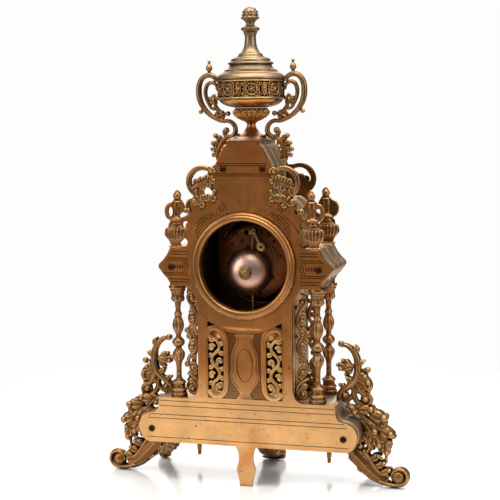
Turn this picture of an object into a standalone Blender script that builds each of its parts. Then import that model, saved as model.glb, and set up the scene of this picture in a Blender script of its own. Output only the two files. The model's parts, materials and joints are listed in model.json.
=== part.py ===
"""Cast brass mantel clock with a lidded urn, pierced scroll work and a striking movement.

Frame: +Z is up and the dial faces -Y. The origin is on the shelf, below the middle of the
clock's box. Right is +X, as seen from the dial side. The pieces hang on an empty at the
case's middle plane, so their y values count from that plane.
Sizes are written in millimetres and become metres where a piece is made.
"""
import math

import bmesh
import bpy

MM = 0.001
GAP = 0.3                      # between two pieces that touch

# --- case ---------------------------------------------------------------------
CASE_DEPTH = 72.0              # front face of the front plate to rear face of the back plate
PLATE = 3.2                    # thickness of the cast front and back plates
WALL = 2.6                     # thickness of the side castings
BASE_FLOOR = 43.6              # underside of the base above the shelf
BASE_HEIGHT = 51.0
BASE_HALF = 124.0              # half width over the rounded ends of the base
SHELF_HALF = 100.0             # half width of the base's top
BODY_HALF = 53.4               # half width of the tall middle part
BODY_HEIGHT = 124.4            # base top to the underside of the side wings
WING_HALF = 97.4               # half width over the points of the wings
WING_HEIGHT = 42.4
CROWN_HEIGHT = 115.1           # wing top to the top edge of the plates
CROWN_HALF = 17.0
CAP_HEIGHT = 4.0

# --- openings -----------------------------------------------------------------
REAR_OPENING = 48.8            # radius of the way in at the back
REAR_RING = 57.7               # outer radius of the ring round it
REAR_RING_RISE = 5.8
DIAL_RADIUS = 48.9
BEZEL_RADIUS = 57.7
BEZEL_RISE = 8.2
GLASS_THICKNESS = 1.2
DIAL_THICKNESS = 1.2

# --- columns and feet ---------------------------------------------------------
COLUMN_OUT = 25.6              # column axis beyond the half width of the middle part
COLUMN_INSET = 10.0            # column axis behind the face of its plate
FOOT_REACH = 173.5             # half width over the side feet
FOOT_WIDTH = 16.0
SCROLL_WIDTH = 11.0
CORNER_FOOT_WIDTH = 14.0
CENTRE_FOOT_WIDTH = 30.0
CENTRE_FOOT_REACH = 54.5       # how far the middle front foot stands out past the plate
DROP_X = 77.0
DROP_LENGTH = 31.5

# --- urn ----------------------------------------------------------------------
URN_BELLY = 38.0
URN_FOOT = 13.0
URN_CUP = 19.4
FRIEZE_HEIGHT = 20.6
LID_RIM = 24.6
NECK = 5.9
FINIAL = 9.4
HANDLE_WIDTH = 8.0

# --- movement -----------------------------------------------------------------
MOVEMENT_RADIUS = 41.0
MOVEMENT_GAP = 25.5            # between the movement's two plates
MOVEMENT_PLATE = 2.5
PILLAR = 2.8
BARREL_RADIUS = 17.0
BARREL_X = 19.0
BARREL_DROP = 14.0             # barrel arbors below the centre of the dial
ARBOR = 1.2
WINDER = 2.0                   # radius of a winding arbor
RUNNING = 0.3                  # clearance of an arbor in its hole
BELL_RADIUS = 25.5
BELL_HEIGHT = 13.0
BELL_X = 3.0
BELL_DROP = 9.6                # bell centre below the centre of the dial
BELL_WALL = 1.3
HAMMER_X = -4.0
HAMMER_RISE = 36.0             # hammer pivot above the centre of the dial
HAMMER_HEAD = 4.7
HAMMER_BEARING = 118.95         # degrees from the bell's right to the hammer's head
STRIKE_GAP = 2.0               # between the resting head and the bell
PENDULUM_LENGTH = 112.0
BOB_RADIUS = 16.0
SCREW = 3.6                    # head radius of the case screws

# --- places that follow from the sizes ------------------------------------------
BACK = CASE_DEPTH / 2
FRONT = -CASE_DEPTH / 2
INNER_BACK = BACK - PLATE - GAP
INNER_FRONT = FRONT + PLATE + GAP
SHELF = BASE_FLOOR + BASE_HEIGHT
WING_FLOOR = SHELF + BODY_HEIGHT
WING_TOP = WING_FLOOR + WING_HEIGHT
DIAL_Z = WING_FLOOR + 0.551 * WING_HEIGHT
CROWN = WING_TOP + CROWN_HEIGHT
URN_FLOOR = CROWN + GAP + CAP_HEIGHT + GAP
DIAL_FACE = FRONT + 2.0
MOVEMENT_FRONT = DIAL_FACE + DIAL_THICKNESS + 1.3
MOVEMENT_BACK = MOVEMENT_FRONT + MOVEMENT_PLATE + MOVEMENT_GAP
BELL_Z = DIAL_Z - BELL_DROP
HAMMER_Z = DIAL_Z + HAMMER_RISE
COLUMN_X = BODY_HALF + COLUMN_OUT
STRIKE_REACH = BELL_RADIUS + STRIKE_GAP + HAMMER_HEAD
HEAD_X = BELL_X + STRIKE_REACH * math.cos(math.radians(HAMMER_BEARING))
HEAD_Z = BELL_Z + STRIKE_REACH * math.sin(math.radians(HAMMER_BEARING))
REAR_REACH = BACK + REAR_RING_RISE
FRONT_REACH = -FRONT + CENTRE_FOOT_REACH
MID_Y = (FRONT_REACH - REAR_REACH) / 2

ORANGE_BRASS = ("orange_brass", (0.45, 0.22, 0.08), 1.0, 0.38)
YELLOW_BRASS = ("yellow_brass", (0.62, 0.38, 0.14), 1.0, 0.32)
DARK_BRASS = ("dark_brass", (0.22, 0.13, 0.06), 1.0, 0.45)
BELL_METAL = ("bell_metal", (0.66, 0.48, 0.38), 1.0, 0.25)
STEEL = ("blued_steel", (0.09, 0.10, 0.13), 1.0, 0.30)
ENAMEL = ("dial_enamel", (0.80, 0.77, 0.68), 0.0, 0.25)
GLASS = ("clear_glass", (0.90, 0.94, 0.95), 0.0, 0.05)


# --- helpers --------------------------------------------------------------------
def clear_scene():
    for old in list(bpy.data.objects):
        bpy.data.objects.remove(old)


def finish_material(finish):
    name, colour, metallic, roughness = finish
    found = bpy.data.materials.get(name)
    if found:
        return found
    made = bpy.data.materials.new(name)
    made.use_nodes = True
    shader = made.node_tree.nodes["Principled BSDF"]
    shader.inputs["Base Color"].default_value = (*colour, 1.0)
    shader.inputs["Metallic"].default_value = metallic
    shader.inputs["Roughness"].default_value = roughness
    return made


def place(name, data, finish, location):
    """Link a piece to the clock's collection, at a place measured from the middle plane."""
    piece = bpy.data.objects.new(name, data)
    data.materials.append(finish_material(finish))
    clock.objects.link(piece)
    piece.parent = middle_plane
    piece.location = [value * MM for value in location]
    return piece


def arc(centre, radius, start, end, steps):
    """Points on an arc, from one angle to another in degrees."""
    points = []
    for step in range(steps + 1):
        angle = math.radians(start + (end - start) * step / steps)
        points.append((centre[0] + radius * math.cos(angle), centre[1] + radius * math.sin(angle)))
    return points


def circle(centre, radius, steps):
    return arc(centre, radius, 0, 360 - 360 / steps, steps - 1)


def oval(centre, half_width, half_height, turn, steps):
    """An ellipse turned by an angle in degrees."""
    cosine = math.cos(math.radians(turn))
    sine = math.sin(math.radians(turn))
    points = []
    for x, z in circle((0, 0), 1.0, steps):
        across = x * half_width
        along = z * half_height
        points.append((centre[0] + across * cosine - along * sine,
                       centre[1] + across * sine + along * cosine))
    return points


def smooth(points, steps=3, closed=False):
    """A soft line through the points: a Catmull-Rom curve."""
    count = len(points)
    result = []
    spans = count if closed else count - 1
    for index in range(spans):
        if closed:
            p0, p1, p2, p3 = (points[(index + offset) % count] for offset in (-1, 0, 1, 2))
        else:
            p0 = points[max(index - 1, 0)]
            p1 = points[index]
            p2 = points[index + 1]
            p3 = points[min(index + 2, count - 1)]
        for step in range(steps):
            t = step / steps
            result.append(tuple(
                0.5 * (2 * b + (c - a) * t + (2 * a - 5 * b + 4 * c - d) * t * t
                       + (3 * b - a - 3 * c + d) * t ** 3)
                for a, b, c, d in zip(p0, p1, p2, p3)))
    if not closed:
        result.append(points[-1])
    return result


def mirrored(half):
    """Both halves of an outline whose half runs from the middle at the foot to the top."""
    other = [(-x, z) for x, z in reversed(half) if x > 0.01]
    return half + other


def flipped(points):
    return [(-x, z) for x, z in points]


def ribbon(path, thickness):
    """A closed outline: the path, and the same path moved inwards to its left side."""
    inner = []
    for index, point in enumerate(path):
        before = path[max(index - 1, 0)]
        after = path[min(index + 1, len(path) - 1)]
        run = math.hypot(after[0] - before[0], after[1] - before[1])
        inner.append((point[0] - (after[1] - before[1]) / run * thickness,
                      point[1] + (after[0] - before[0]) / run * thickness))
    return path + inner[::-1]


def flat(name, outline, holes, front, back, finish):
    """A pierced plate in the XZ plane, from its front y to its back y."""
    curve = bpy.data.curves.new(name, "CURVE")
    curve.dimensions = "2D"
    curve.fill_mode = "BOTH"
    curve.extrude = (back - front) / 2 * MM
    for loop in [outline, *holes]:
        spline = curve.splines.new("POLY")
        spline.points.add(len(loop) - 1)
        for point, (x, z) in zip(spline.points, loop):
            point.co = (x * MM, z * MM, 0, 1)
        spline.use_cyclic_u = True
    piece = place(name, curve, finish, (0, (front + back) / 2, 0))
    piece.rotation_euler = (math.pi / 2, 0, 0)
    return piece


def turned(name, profile, location, finish, steps, along_y=False, closed=False):
    """A lathe-turned piece. Its profile (radius, height) runs down the outer side."""
    mesh = bpy.data.meshes.new(name)
    edges = [(index, index + 1) for index in range(len(profile) - 1)]
    if closed:
        edges.append((len(profile) - 1, 0))
    mesh.from_pydata([(radius * MM, 0, height * MM) for radius, height in profile], edges, [])
    piece = place(name, mesh, finish, location)
    if along_y:
        piece.rotation_euler = (-math.pi / 2, 0, 0)
    screw = piece.modifiers.new("turn", "SCREW")
    screw.steps = steps
    screw.render_steps = steps
    screw.use_merge_vertices = True
    screw.merge_threshold = 0.00001
    screw.use_smooth_shade = True
    return piece


def disc(name, radius, front, back, centre, finish, steps=24):
    """A plain round disc or arbor along y."""
    profile = [(0, back), (radius, back), (radius, front), (0, front)]
    return turned(name, profile, (centre[0], 0, centre[1]), finish, steps, along_y=True)


def tube(name, points, radius, finish):
    """A round bar through the points."""
    curve = bpy.data.curves.new(name, "CURVE")
    curve.dimensions = "3D"
    curve.bevel_depth = radius * MM
    curve.bevel_resolution = 2
    curve.use_fill_caps = True
    spline = curve.splines.new("POLY")
    spline.points.add(len(points) - 1)
    for point, spot in zip(spline.points, points):
        point.co = (*[value * MM for value in spot], 1)
    return place(name, curve, finish, (0, 0, 0))


def box(name, low, high, finish):
    """A plain block between two corners."""
    mesh = bpy.data.meshes.new(name)
    shape = bmesh.new()
    bmesh.ops.create_cube(shape, size=1.0)
    for vertex in shape.verts:
        for axis in range(3):
            vertex.co[axis] *= (high[axis] - low[axis]) * MM
    shape.to_mesh(mesh)
    shape.free()
    return place(name, mesh, finish, [(a + b) / 2 for a, b in zip(low, high)])


# --- outlines shared by the two plates and the castings between them --------------
def base_end():
    """The end of the base, from its underside up round the bulge to the shelf."""
    bulge = smooth([(BASE_HALF - 12.0, BASE_FLOOR), (BASE_HALF - 5.0, BASE_FLOOR + 4.2),
                    (BASE_HALF, BASE_FLOOR + 17.0), (BASE_HALF - 4.0, BASE_FLOOR + 27.5),
                    (BASE_HALF - 12.0, BASE_FLOOR + 32.2)], 4)
    neck = smooth([(BASE_HALF - 12.0, BASE_FLOOR + 32.2), (SHELF_HALF + 4.5, BASE_FLOOR + 34.0),
                   (SHELF_HALF + 0.8, SHELF - 11.0), (SHELF_HALF, SHELF)], 3)
    return bulge + neck[1:]


def body_side():
    """The side of the tall middle part, from the shelf to the underside of the wing."""
    flare = smooth([(BODY_HALF + 10.6, SHELF), (BODY_HALF + 3.4, SHELF + 4.0),
                    (BODY_HALF, SHELF + 13.5)], 3)
    shoulder = smooth([(BODY_HALF, WING_FLOOR - 20.0), (BODY_HALF + 3.4, WING_FLOOR - 9.0),
                       (BODY_HALF + 8.6, WING_FLOOR)], 3)
    return flare + shoulder


def wing_end():
    """The stepped and pointed end of a wing, from its underside to its top."""
    middle = WING_FLOOR + 21.4
    lower = [(WING_HALF - 13.0, WING_FLOOR), (WING_HALF - 13.0, WING_FLOOR + 3.0),
             (WING_HALF - 9.8, WING_FLOOR + 8.4), (WING_HALF - 5.2, middle - 8.4)]
    point = arc((WING_HALF - 4.6, middle), 4.6, -52, 52, 6)
    upper = [(WING_HALF - 5.2, middle + 6.9), (WING_HALF - 9.6, middle + 12.2),
             (WING_HALF - 13.0, WING_TOP - 2.4), (WING_HALF - 14.4, WING_TOP)]
    return lower + point + upper


def wing_finial():
    """The flat two-handled vase over a wing, up its outer side and down its inner side."""
    up = smooth([(82.4, 1.0), (83.4, 5.0), (85.6, 9.0), (89.2, 12.6), (89.2, 17.4), (85.4, 21.0),
                 (84.8, 25.4), (82.6, 28.8), (86.4, 32.2), (88.4, 38.0), (86.8, 44.2), (82.0, 48.4),
                 (78.0, 52.6), (78.2, 58.2), (74.6, 62.4), (70.8, 58.4), (71.2, 53.0)], 3)
    down = smooth([(71.2, 53.0), (68.4, 49.0), (66.0, 43.6), (67.4, 39.4), (72.2, 35.2),
                   (71.2, 31.2), (66.0, 32.8), (60.5, 35.6)], 3)
    shift = WING_HALF - 97.4
    return [(x + shift, z + WING_TOP) for x, z in up + down[1:]]


def crown_scroll():
    """The open C scroll beside the crown, from the ring surround up to the crown's neck."""
    curl = smooth([(60.5, 35.6), (56.6, 40.0), (59.0, 44.6), (58.6, 49.0), (55.2, 52.4)], 3)
    bow = arc((45.0, 70.8), 18.2, -55, 112, 16)
    return [(x, z + WING_TOP) for x, z in curl + bow]


def crown_neck():
    """The hollow curve from the crown's shoulder up to its top edge."""
    return smooth([(31.8, CROWN - 27.4), (CROWN_HALF + 9.0, CROWN - 16.0),
                   (CROWN_HALF + 3.6, CROWN - 6.4), (CROWN_HALF + 0.4, CROWN - 3.6),
                   (CROWN_HALF, CROWN)], 3)


def scroll_holes():
    """The gaps inside the crown's C scroll and round the arm of the wing's vase."""
    upper = smooth([(57.2, 69.4), (57.6, 74.4), (53.2, 81.2), (47.0, 85.0), (41.0, 85.4), (38.0, 81.4),
                    (38.8, 78.2), (45.0, 77.0), (51.0, 74.0), (53.6, 69.8)], 2, closed=True)
    lower = smooth([(43.6, 63.6), (40.0, 66.2), (35.2, 66.4), (32.0, 63.8), (31.8, 60.4), (35.4, 57.8),
                    (39.0, 54.8), (43.2, 57.4)], 2, closed=True)
    shift = WING_HALF - 97.4
    arm = smooth([(63.0 + shift, 28.0), (67.6 + shift, 28.0), (68.8 + shift, 24.0),
                  (66.0 + shift, 20.6), (63.0 + shift, 21.0)], 2, closed=True)
    eye = circle((67.6 + shift, 5.4), 4.6, 12)
    return [[(x, z + WING_TOP) for x, z in loop] for loop in (upper, lower, arm, eye)]


def plate_side():
    """One side of a plate, from the underside of the base to the top of the crown."""
    return base_end() + body_side() + wing_end() + wing_finial() + crown_scroll() + crown_neck()


def both_sides(loops):
    return loops + [flipped(loop) for loop in loops]


def panel_holes():
    """The gaps in the back's lower panel: the tall leaf openings and the corner triangles."""
    inner = BODY_HALF - 29.0
    outer = BODY_HALF - 11.6
    top = WING_FLOOR - 59.0
    tall = [(outer, SHELF + 9.0), (outer, top)] + smooth(
        [(outer - 4.0, top + 2.2), (inner + 3.0, top + 0.6), (inner, top - 5.0)], 3) + smooth(
        [(inner, SHELF + 14.0), (inner + 2.6, SHELF + 8.4), (outer - 6.0, SHELF + 5.6)], 3)
    corner = [(outer, WING_FLOOR - 44.6), (outer, WING_FLOOR - 37.4), (outer - 8.6, WING_FLOOR - 41.6)]
    return [tall, corner]


# --- case -------------------------------------------------------------------------
def make_plates():
    foot = smooth([(7.0, 0), (8.0, 7.0), (9.6, 13.0), (10.4, 19.0), (8.6, 26.0), (8.2, 32.0),
                   (9.0, 38.0), (11.4, BASE_FLOOR)], 3)
    opening = circle((0, DIAL_Z), REAR_OPENING + 1.8, 48)
    flat("back_plate", mirrored(foot + plate_side()),
         [opening] + both_sides(scroll_holes()) + both_sides(panel_holes()),
         BACK - PLATE, BACK, ORANGE_BRASS)
    opening = circle((0, DIAL_Z), DIAL_RADIUS + 0.6, 48)
    flat("front_plate", mirrored(plate_side()), [opening] + both_sides(scroll_holes()),
         FRONT, FRONT + PLATE, ORANGE_BRASS)
    ring = [(REAR_RING, BACK + 3.2), (REAR_RING, BACK + GAP), (REAR_OPENING + 1.4, BACK + GAP),
            (REAR_OPENING + 1.4, BACK - 5.0), (REAR_OPENING, BACK - 5.0),
            (REAR_OPENING, REAR_REACH - 2.2), (REAR_OPENING + 1.8, REAR_REACH - 0.4),
            (REAR_OPENING + 4.4, REAR_REACH), (REAR_RING - 1.5, REAR_REACH - 1.2)]
    turned("rear_ring", ring, (0, 0, DIAL_Z), YELLOW_BRASS, 48, along_y=True, closed=True)


def make_sides():
    """The castings that close the case between its two plates, right and left."""
    shoulder = smooth([(62.3, WING_TOP + 1.0), (62.3, WING_TOP + 20.0), (61.2, WING_TOP + 36.0),
                       (56.0, WING_TOP + 46.0), (48.0, WING_TOP + 52.6), (37.0, WING_TOP + 53.0),
                       (31.4, WING_TOP + 60.0), (30.4, WING_TOP + 74.0), (31.2, CROWN - 27.4)], 2)
    wing = [(BODY_HALF + 10.2, WING_FLOOR)] + wing_end() + [(BODY_HALF + 10.2, WING_TOP)]
    wall = [(BODY_HALF, SHELF + GAP), (BODY_HALF, WING_FLOOR - 20.0),
            (BODY_HALF + 3.4, WING_FLOOR - 9.0), (BODY_HALF + 8.0, WING_FLOOR - 1.0)]
    for side, turn in (("right", list), ("left", flipped)):
        flat("base_side_" + side, turn(ribbon(base_end(), WALL)), [],
             INNER_FRONT, INNER_BACK, DARK_BRASS)
        flat("body_side_" + side, turn(ribbon(wall, WALL)), [],
             INNER_FRONT, INNER_BACK, DARK_BRASS)
        flat("wing_side_" + side, turn(ribbon(wing, WALL)), [],
             INNER_FRONT, INNER_BACK, DARK_BRASS)
        flat("roof_" + side, turn(ribbon(shoulder + crown_neck()[1:], WALL)), [],
             INNER_FRONT, INNER_BACK, DARK_BRASS)
    reach = SHELF_HALF - WALL - GAP
    box("base_top", (-reach, INNER_FRONT, SHELF - 3.2), (reach, INNER_BACK, SHELF), YELLOW_BRASS)


def make_cap():
    """The low hipped block that carries the urn."""
    cap = box("cap", (-CROWN_HALF - 1.6, FRONT - 1.2, CROWN + GAP),
              (CROWN_HALF + 1.6, BACK + 1.2, CROWN + GAP + CAP_HEIGHT), YELLOW_BRASS)
    for vertex in cap.data.vertices:
        if vertex.co.z > 0:
            vertex.co.x *= (URN_FOOT + 1.2) / (CROWN_HALF + 1.6)
            vertex.co.y *= 0.62


def make_columns():
    """The four turned columns between the base and the wings."""
    low = SHELF + GAP
    high = WING_FLOOR - GAP
    top = [(0, 0), (9.4, 0), (10.0, -2.6), (9.0, -6.4), (7.6, -7.2), (7.0, -11.6), (7.4, -15.4),
           (6.4, -17.8), (3.4, -18.8), (2.9, -24.0), (3.6, -30.0), (5.6, -38.0), (5.8, -45.0),
           (4.4, -51.4), (2.8, -56.0)]
    foot = [(6.9, 60.4), (6.8, 57.6), (3.0, 53.0), (4.4, 50.0), (6.4, 46.6), (5.4, 41.6), (3.2, 37.8),
            (3.0, 17.6), (7.6, 15.4), (7.0, 12.6), (8.6, 9.0), (7.8, 5.6), (9.2, 5.0), (9.2, 0), (0, 0)]
    profile = [(radius, high + fall) for radius, fall in top]
    profile += [(radius, low + rise) for radius, rise in foot]
    for face, y in (("back", BACK - COLUMN_INSET), ("front", FRONT + COLUMN_INSET)):
        for side, x in (("right", COLUMN_X), ("left", -COLUMN_X)):
            turned("column_" + face + "_" + side, profile, (x, y, 0), DARK_BRASS, 10)


def make_side_ornaments():
    """The scroll feet with their leaf festoons, and the open scrolls that stand over them."""
    inner = [(x + GAP, z) for x, z in reversed(base_end()[:-3])]
    ball = arc((FOOT_REACH - 11.5, 11.5), 11.5, -90, 140, 14)
    leg = smooth([(FOOT_REACH - 20.5, 18.9), (FOOT_REACH - 27.0, 16.6), (BASE_HALF + 17.0, 19.0),
                  (BASE_HALF + 22.0, 30.0), (BASE_HALF + 29.4, 38.0), (BASE_HALF + 30.0, 46.0),
                  (BASE_HALF + 26.6, 50.4), (BASE_HALF + 32.0, 54.0), (BASE_HALF + 28.0, 60.6),
                  (BASE_HALF + 22.6, 62.6), (BASE_HALF + 25.6, 69.0), (BASE_HALF + 23.0, 75.0),
                  (BASE_HALF + 15.0, 80.0), (BASE_HALF + 6.0, 84.2), (BASE_HALF - 6.0, 86.8),
                  (SHELF_HALF + 4.4, 87.4)], 2)
    under = smooth([(SHELF_HALF + 4.0, BASE_FLOOR - GAP), (SHELF_HALF + 7.0, 36.0), (BASE_HALF - 4.0, 23.6),
                    (BASE_HALF + 7.0, 12.6), (BASE_HALF + 17.0, 4.4), (BASE_HALF + 26.0, 0)], 3)
    slot = oval((BASE_HALF + 14.4, 40.0), 3.6, 9.0, 10, 12)
    foot = leg + inner + [(BASE_HALF - 12.0, BASE_FLOOR - GAP)] + under + ball
    scroll = smooth([(112.0, -3.6), (118.0, -6.4), (126.0, -6.8), (133.0, -3.0), (134.0, 3.0), (130.0, 7.4),
                     (124.6, 6.2), (121.0, 2.8), (118.0, 2.4), (116.2, 6.4), (119.0, 9.8), (125.0, 8.9),
                     (131.0, 10.4), (132.2, 18.0), (128.4, 24.4), (124.0, 27.4), (128.0, 29.6),
                     (131.6, 33.0), (128.0, 36.6), (122.0, 37.0), (120.4, 43.0), (117.0, 50.6),
                     (112.0, 56.6), (106.0, 61.8), (101.0, 63.6), (96.6, 60.0), (98.0, 55.6), (105.0, 56.0),
                     (110.0, 51.4), (111.0, 45.4), (106.0, 43.4), (100.0, 42.2), (95.0, 36.6),
                     (92.6, 31.4), (99.0, 28.6), (107.0, 28.4), (111.0, 24.6), (104.0, 19.0),
                     (97.0, 17.0), (94.0, 12.0), (94.6, 4.0)], 2)
    scroll += [(95.0, GAP), (SHELF_HALF + 3.0, GAP)]
    scroll = [(x, SHELF + z) for x, z in scroll]
    hole = oval((104.6, SHELF + 7.8), 2.4, 4.4, 0, 12)
    for side, turn in (("right", list), ("left", flipped)):
        flat("side_foot_" + side, turn(foot), [turn(slot)],
             -FOOT_WIDTH / 2, FOOT_WIDTH / 2, DARK_BRASS)
        flat("side_scroll_" + side, turn(scroll), [turn(hole)],
             -SCROLL_WIDTH / 2, SCROLL_WIDTH / 2, DARK_BRASS)


def scroll_foot(name, start, heading, reach, width):
    """A foot that curls out from under the base. Its outline stands in a plane on its heading."""
    top = BASE_FLOOR - GAP
    roll = 9.5
    upper = smooth([(22.0, top), (reach - 24.0, 36.0), (reach - 17.0, 24.0), (reach - 14.0, 19.4)], 3)
    ball = arc((reach - roll, roll), roll, 120, -90, 12)
    lower = smooth([(reach - 18.0, 0), (reach - 25.0, 6.0), (reach - 33.0, 15.0), (8.0, 32.0),
                    (0, 38.0)], 3)
    foot = flat(name, [(0, top)] + upper + ball + lower, [], -width / 2, width / 2, DARK_BRASS)
    foot.location = (start[0] * MM, start[1] * MM, 0)
    foot.rotation_euler = (math.pi / 2, 0, math.radians(heading))


def make_front_feet():
    scroll_foot("front_foot_right", (94.0, FRONT + 10.0), -42.0, 55.5, CORNER_FOOT_WIDTH)
    scroll_foot("front_foot_left", (-94.0, FRONT + 10.0), -138.0, 55.5, CORNER_FOOT_WIDTH)
    scroll_foot("front_foot_centre", (0, FRONT + 8.0), -90.0, CENTRE_FOOT_REACH + 8.0, CENTRE_FOOT_WIDTH)
    top = BASE_FLOOR - GAP
    drop = [(0, top), (3.4, top), (3.2, top - 9.0), (2.2, top - DROP_LENGTH + 3.4),
            (3.0, top - DROP_LENGTH + 2.4), (3.0, top - DROP_LENGTH), (0, top - DROP_LENGTH)]
    for side, x in (("right", DROP_X), ("left", -DROP_X)):
        turned("front_drop_" + side, drop, (x, FRONT + PLATE / 2, 0), DARK_BRASS, 12)


def make_screws():
    """Domed screw heads that hold the plates to the side castings."""
    places = {"base_screw": (BASE_HALF - 15.3, BASE_FLOOR + 14.9),
              "wing_screw": (WING_HALF - 14.8, WING_FLOOR + 20.6),
              "top_screw": (21.9, CROWN - 29.8)}
    head = [(0, 1.5), (SCREW * 0.55, 1.3), (SCREW * 0.9, 0.7), (SCREW, 0), (0, 0)]
    profile = [(radius, BACK + GAP + rise) for radius, rise in head]
    for name, (x, z) in places.items():
        for side, way in (("right", 1), ("left", -1)):
            turned(name + "_" + side, profile, (way * x, 0, z), DARK_BRASS, 12, along_y=True)


# --- urn --------------------------------------------------------------------------
def make_urn():
    """The urn's turned pieces, stacked over the cap."""
    base = URN_FLOOR
    cup_top = base + 30.4
    bowl_top = cup_top + 9.6
    frieze_top = bowl_top + FRIEZE_HEIGHT
    lid_top = frieze_top + 25.6
    foot = [(0, cup_top), (URN_CUP - 2.4, cup_top), (URN_CUP - 1.0, cup_top - 1.8), (URN_CUP, cup_top - 5.0),
            (URN_CUP - 1.6, cup_top - 9.0), (URN_CUP - 7.4, cup_top - 13.4), (5.4, cup_top - 16.6),
            (4.6, base + 9.0), (7.0, base + 5.6), (URN_FOOT - 1.4, base + 1.6), (URN_FOOT, base),
            (0, base)]
    turned("urn_foot", foot, (0, 0, 0), DARK_BRASS, 24)
    low = cup_top + GAP
    bowl = [(URN_BELLY - 2.8, bowl_top), (URN_BELLY - 3.8, bowl_top - 2.0),
            (URN_BELLY - 9.0, bowl_top - 5.2), (URN_CUP - 0.6, low + 1.6), (URN_CUP - 3.6, low),
            (0, low)]
    bowl = [(0, low + 3.0), (URN_CUP, low + 5.2), (URN_BELLY - 7.0, bowl_top)] + bowl
    turned("urn_bowl", bowl, (0, 0, 0), YELLOW_BRASS, 28)
    low = bowl_top + GAP
    top = frieze_top - GAP
    frieze = [(URN_BELLY, top), (URN_BELLY, low + 8.0), (URN_BELLY - 0.8, low + 3.4),
              (URN_BELLY - 2.4, low), (URN_BELLY - 6.6, low), (URN_BELLY - 4.0, low + 8.0),
              (URN_BELLY - 4.0, top)]
    turned("urn_frieze", frieze, (0, 0, 0), DARK_BRASS, 32, closed=True)
    low = frieze_top
    lid = [(0, lid_top), (14.4, lid_top), (15.4, low + 25.0), (19.2, low + 23.6),
           (20.8, low + 20.6), (LID_RIM - 1.2, low + 19.4),
           (LID_RIM, low + 18.0), (LID_RIM - 1.4, low + 15.6), (LID_RIM - 0.4, low + 12.0),
           (URN_BELLY - 9.8, low + 10.2), (URN_BELLY - 9.6, low + 9.0), (URN_BELLY - 5.6, low + 7.6),
           (URN_BELLY - 2.4, low + 5.2), (URN_BELLY - 0.6, low + 2.0), (URN_BELLY - 0.2, low),
           (0, low)]
    turned("urn_lid", lid, (0, 0, 0), YELLOW_BRASS, 28)
    low = lid_top + GAP
    finial = [(0, low + 52.4), (3.6, low + 51.6), (6.2, low + 49.2), (7.0, low + 45.6), (7.6, low + 43.0),
              (FINIAL, low + 41.2), (8.4, low + 39.6), (5.0, low + 37.6), (4.8, low + 34.8),
              (6.6, low + 32.2), (9.8, low + 30.2), (10.4, low + 28.8), (9.4, low + 27.4),
              (7.2, low + 25.0), (NECK, low + 20.6), (NECK, low + 16.0), (6.6, low + 11.0),
              (8.0, low + 6.2), (10.6, low + 2.2), (13.6, low), (0, low)]
    turned("urn_finial", finial, (0, 0, 0), ORANGE_BRASS, 20)


def make_handles():
    """The scroll handles, each with the short festoon that falls from it to the crown."""
    side = smooth([(47.0, 464.5), (49.6, 461.0), (48.6, 458.8), (52.4, 454.8), (50.2, 451.0), (50.6, 446.8),
                   (55.4, 444.4), (60.4, 438.0), (61.6, 430.6), (60.2, 422.0), (57.0, 414.0),
                   (58.2, 409.6), (54.6, 407.0), (50.4, 408.0), (44.0, 403.4), (37.0, 400.6),
                   (30.4, 398.2), (32.4, 393.6), (33.4, 389.4), (31.6, 384.6), (34.6, 382.6),
                   (42.0, 386.0), (42.4, 380.0), (36.8, 376.0), (38.2, 371.0), (35.0, 366.0),
                   (37.0, 359.6), (36.4, 353.6), (33.4, 352.6), (30.6, 358.0), (26.4, 368.0),
                   (23.6, 377.0), (20.8, 382.4), (17.2, 384.4), (15.6, 389.0), (18.4, 394.4),
                   (23.6, 399.4), (22.0, 404.0), (23.6, 408.8), (30.0, 411.0), (37.0, 416.2),
                   (40.6, 421.0), (39.4, 428.0), (38.8, 434.0), (38.8, 440.0), (43.6, 443.4), (44.4, 447.0),
                   (44.2, 451.0), (41.8, 455.0), (45.4, 458.8), (44.6, 461.0)], 2, closed=True)
    gaps = [smooth([(54.6, 438.6), (56.8, 431.0), (55.6, 421.0), (52.6, 415.4), (51.6, 421.0),
                    (52.0, 429.0), (50.0, 436.0)], 2, closed=True),
            smooth([(45.4, 411.4), (39.0, 408.0), (33.6, 406.6), (34.4, 410.6), (38.6, 413.8),
                    (43.6, 414.6)], 2, closed=True),
            smooth([(27.8, 394.8), (21.6, 392.4), (20.2, 387.8), (23.4, 385.4), (24.6, 390.2)],
                   2, closed=True)]
    rise = URN_FLOOR - 381.1
    spread = URN_BELLY - 38.0
    loops = [[(x + spread, z + rise) for x, z in loop] for loop in (side, *gaps)]
    for name, turn in (("urn_handle_right", list), ("urn_handle_left", flipped)):
        flat(name, turn(loops[0]), [turn(loop) for loop in loops[1:]],
             -HANDLE_WIDTH / 2, HANDLE_WIDTH / 2, DARK_BRASS)


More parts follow.
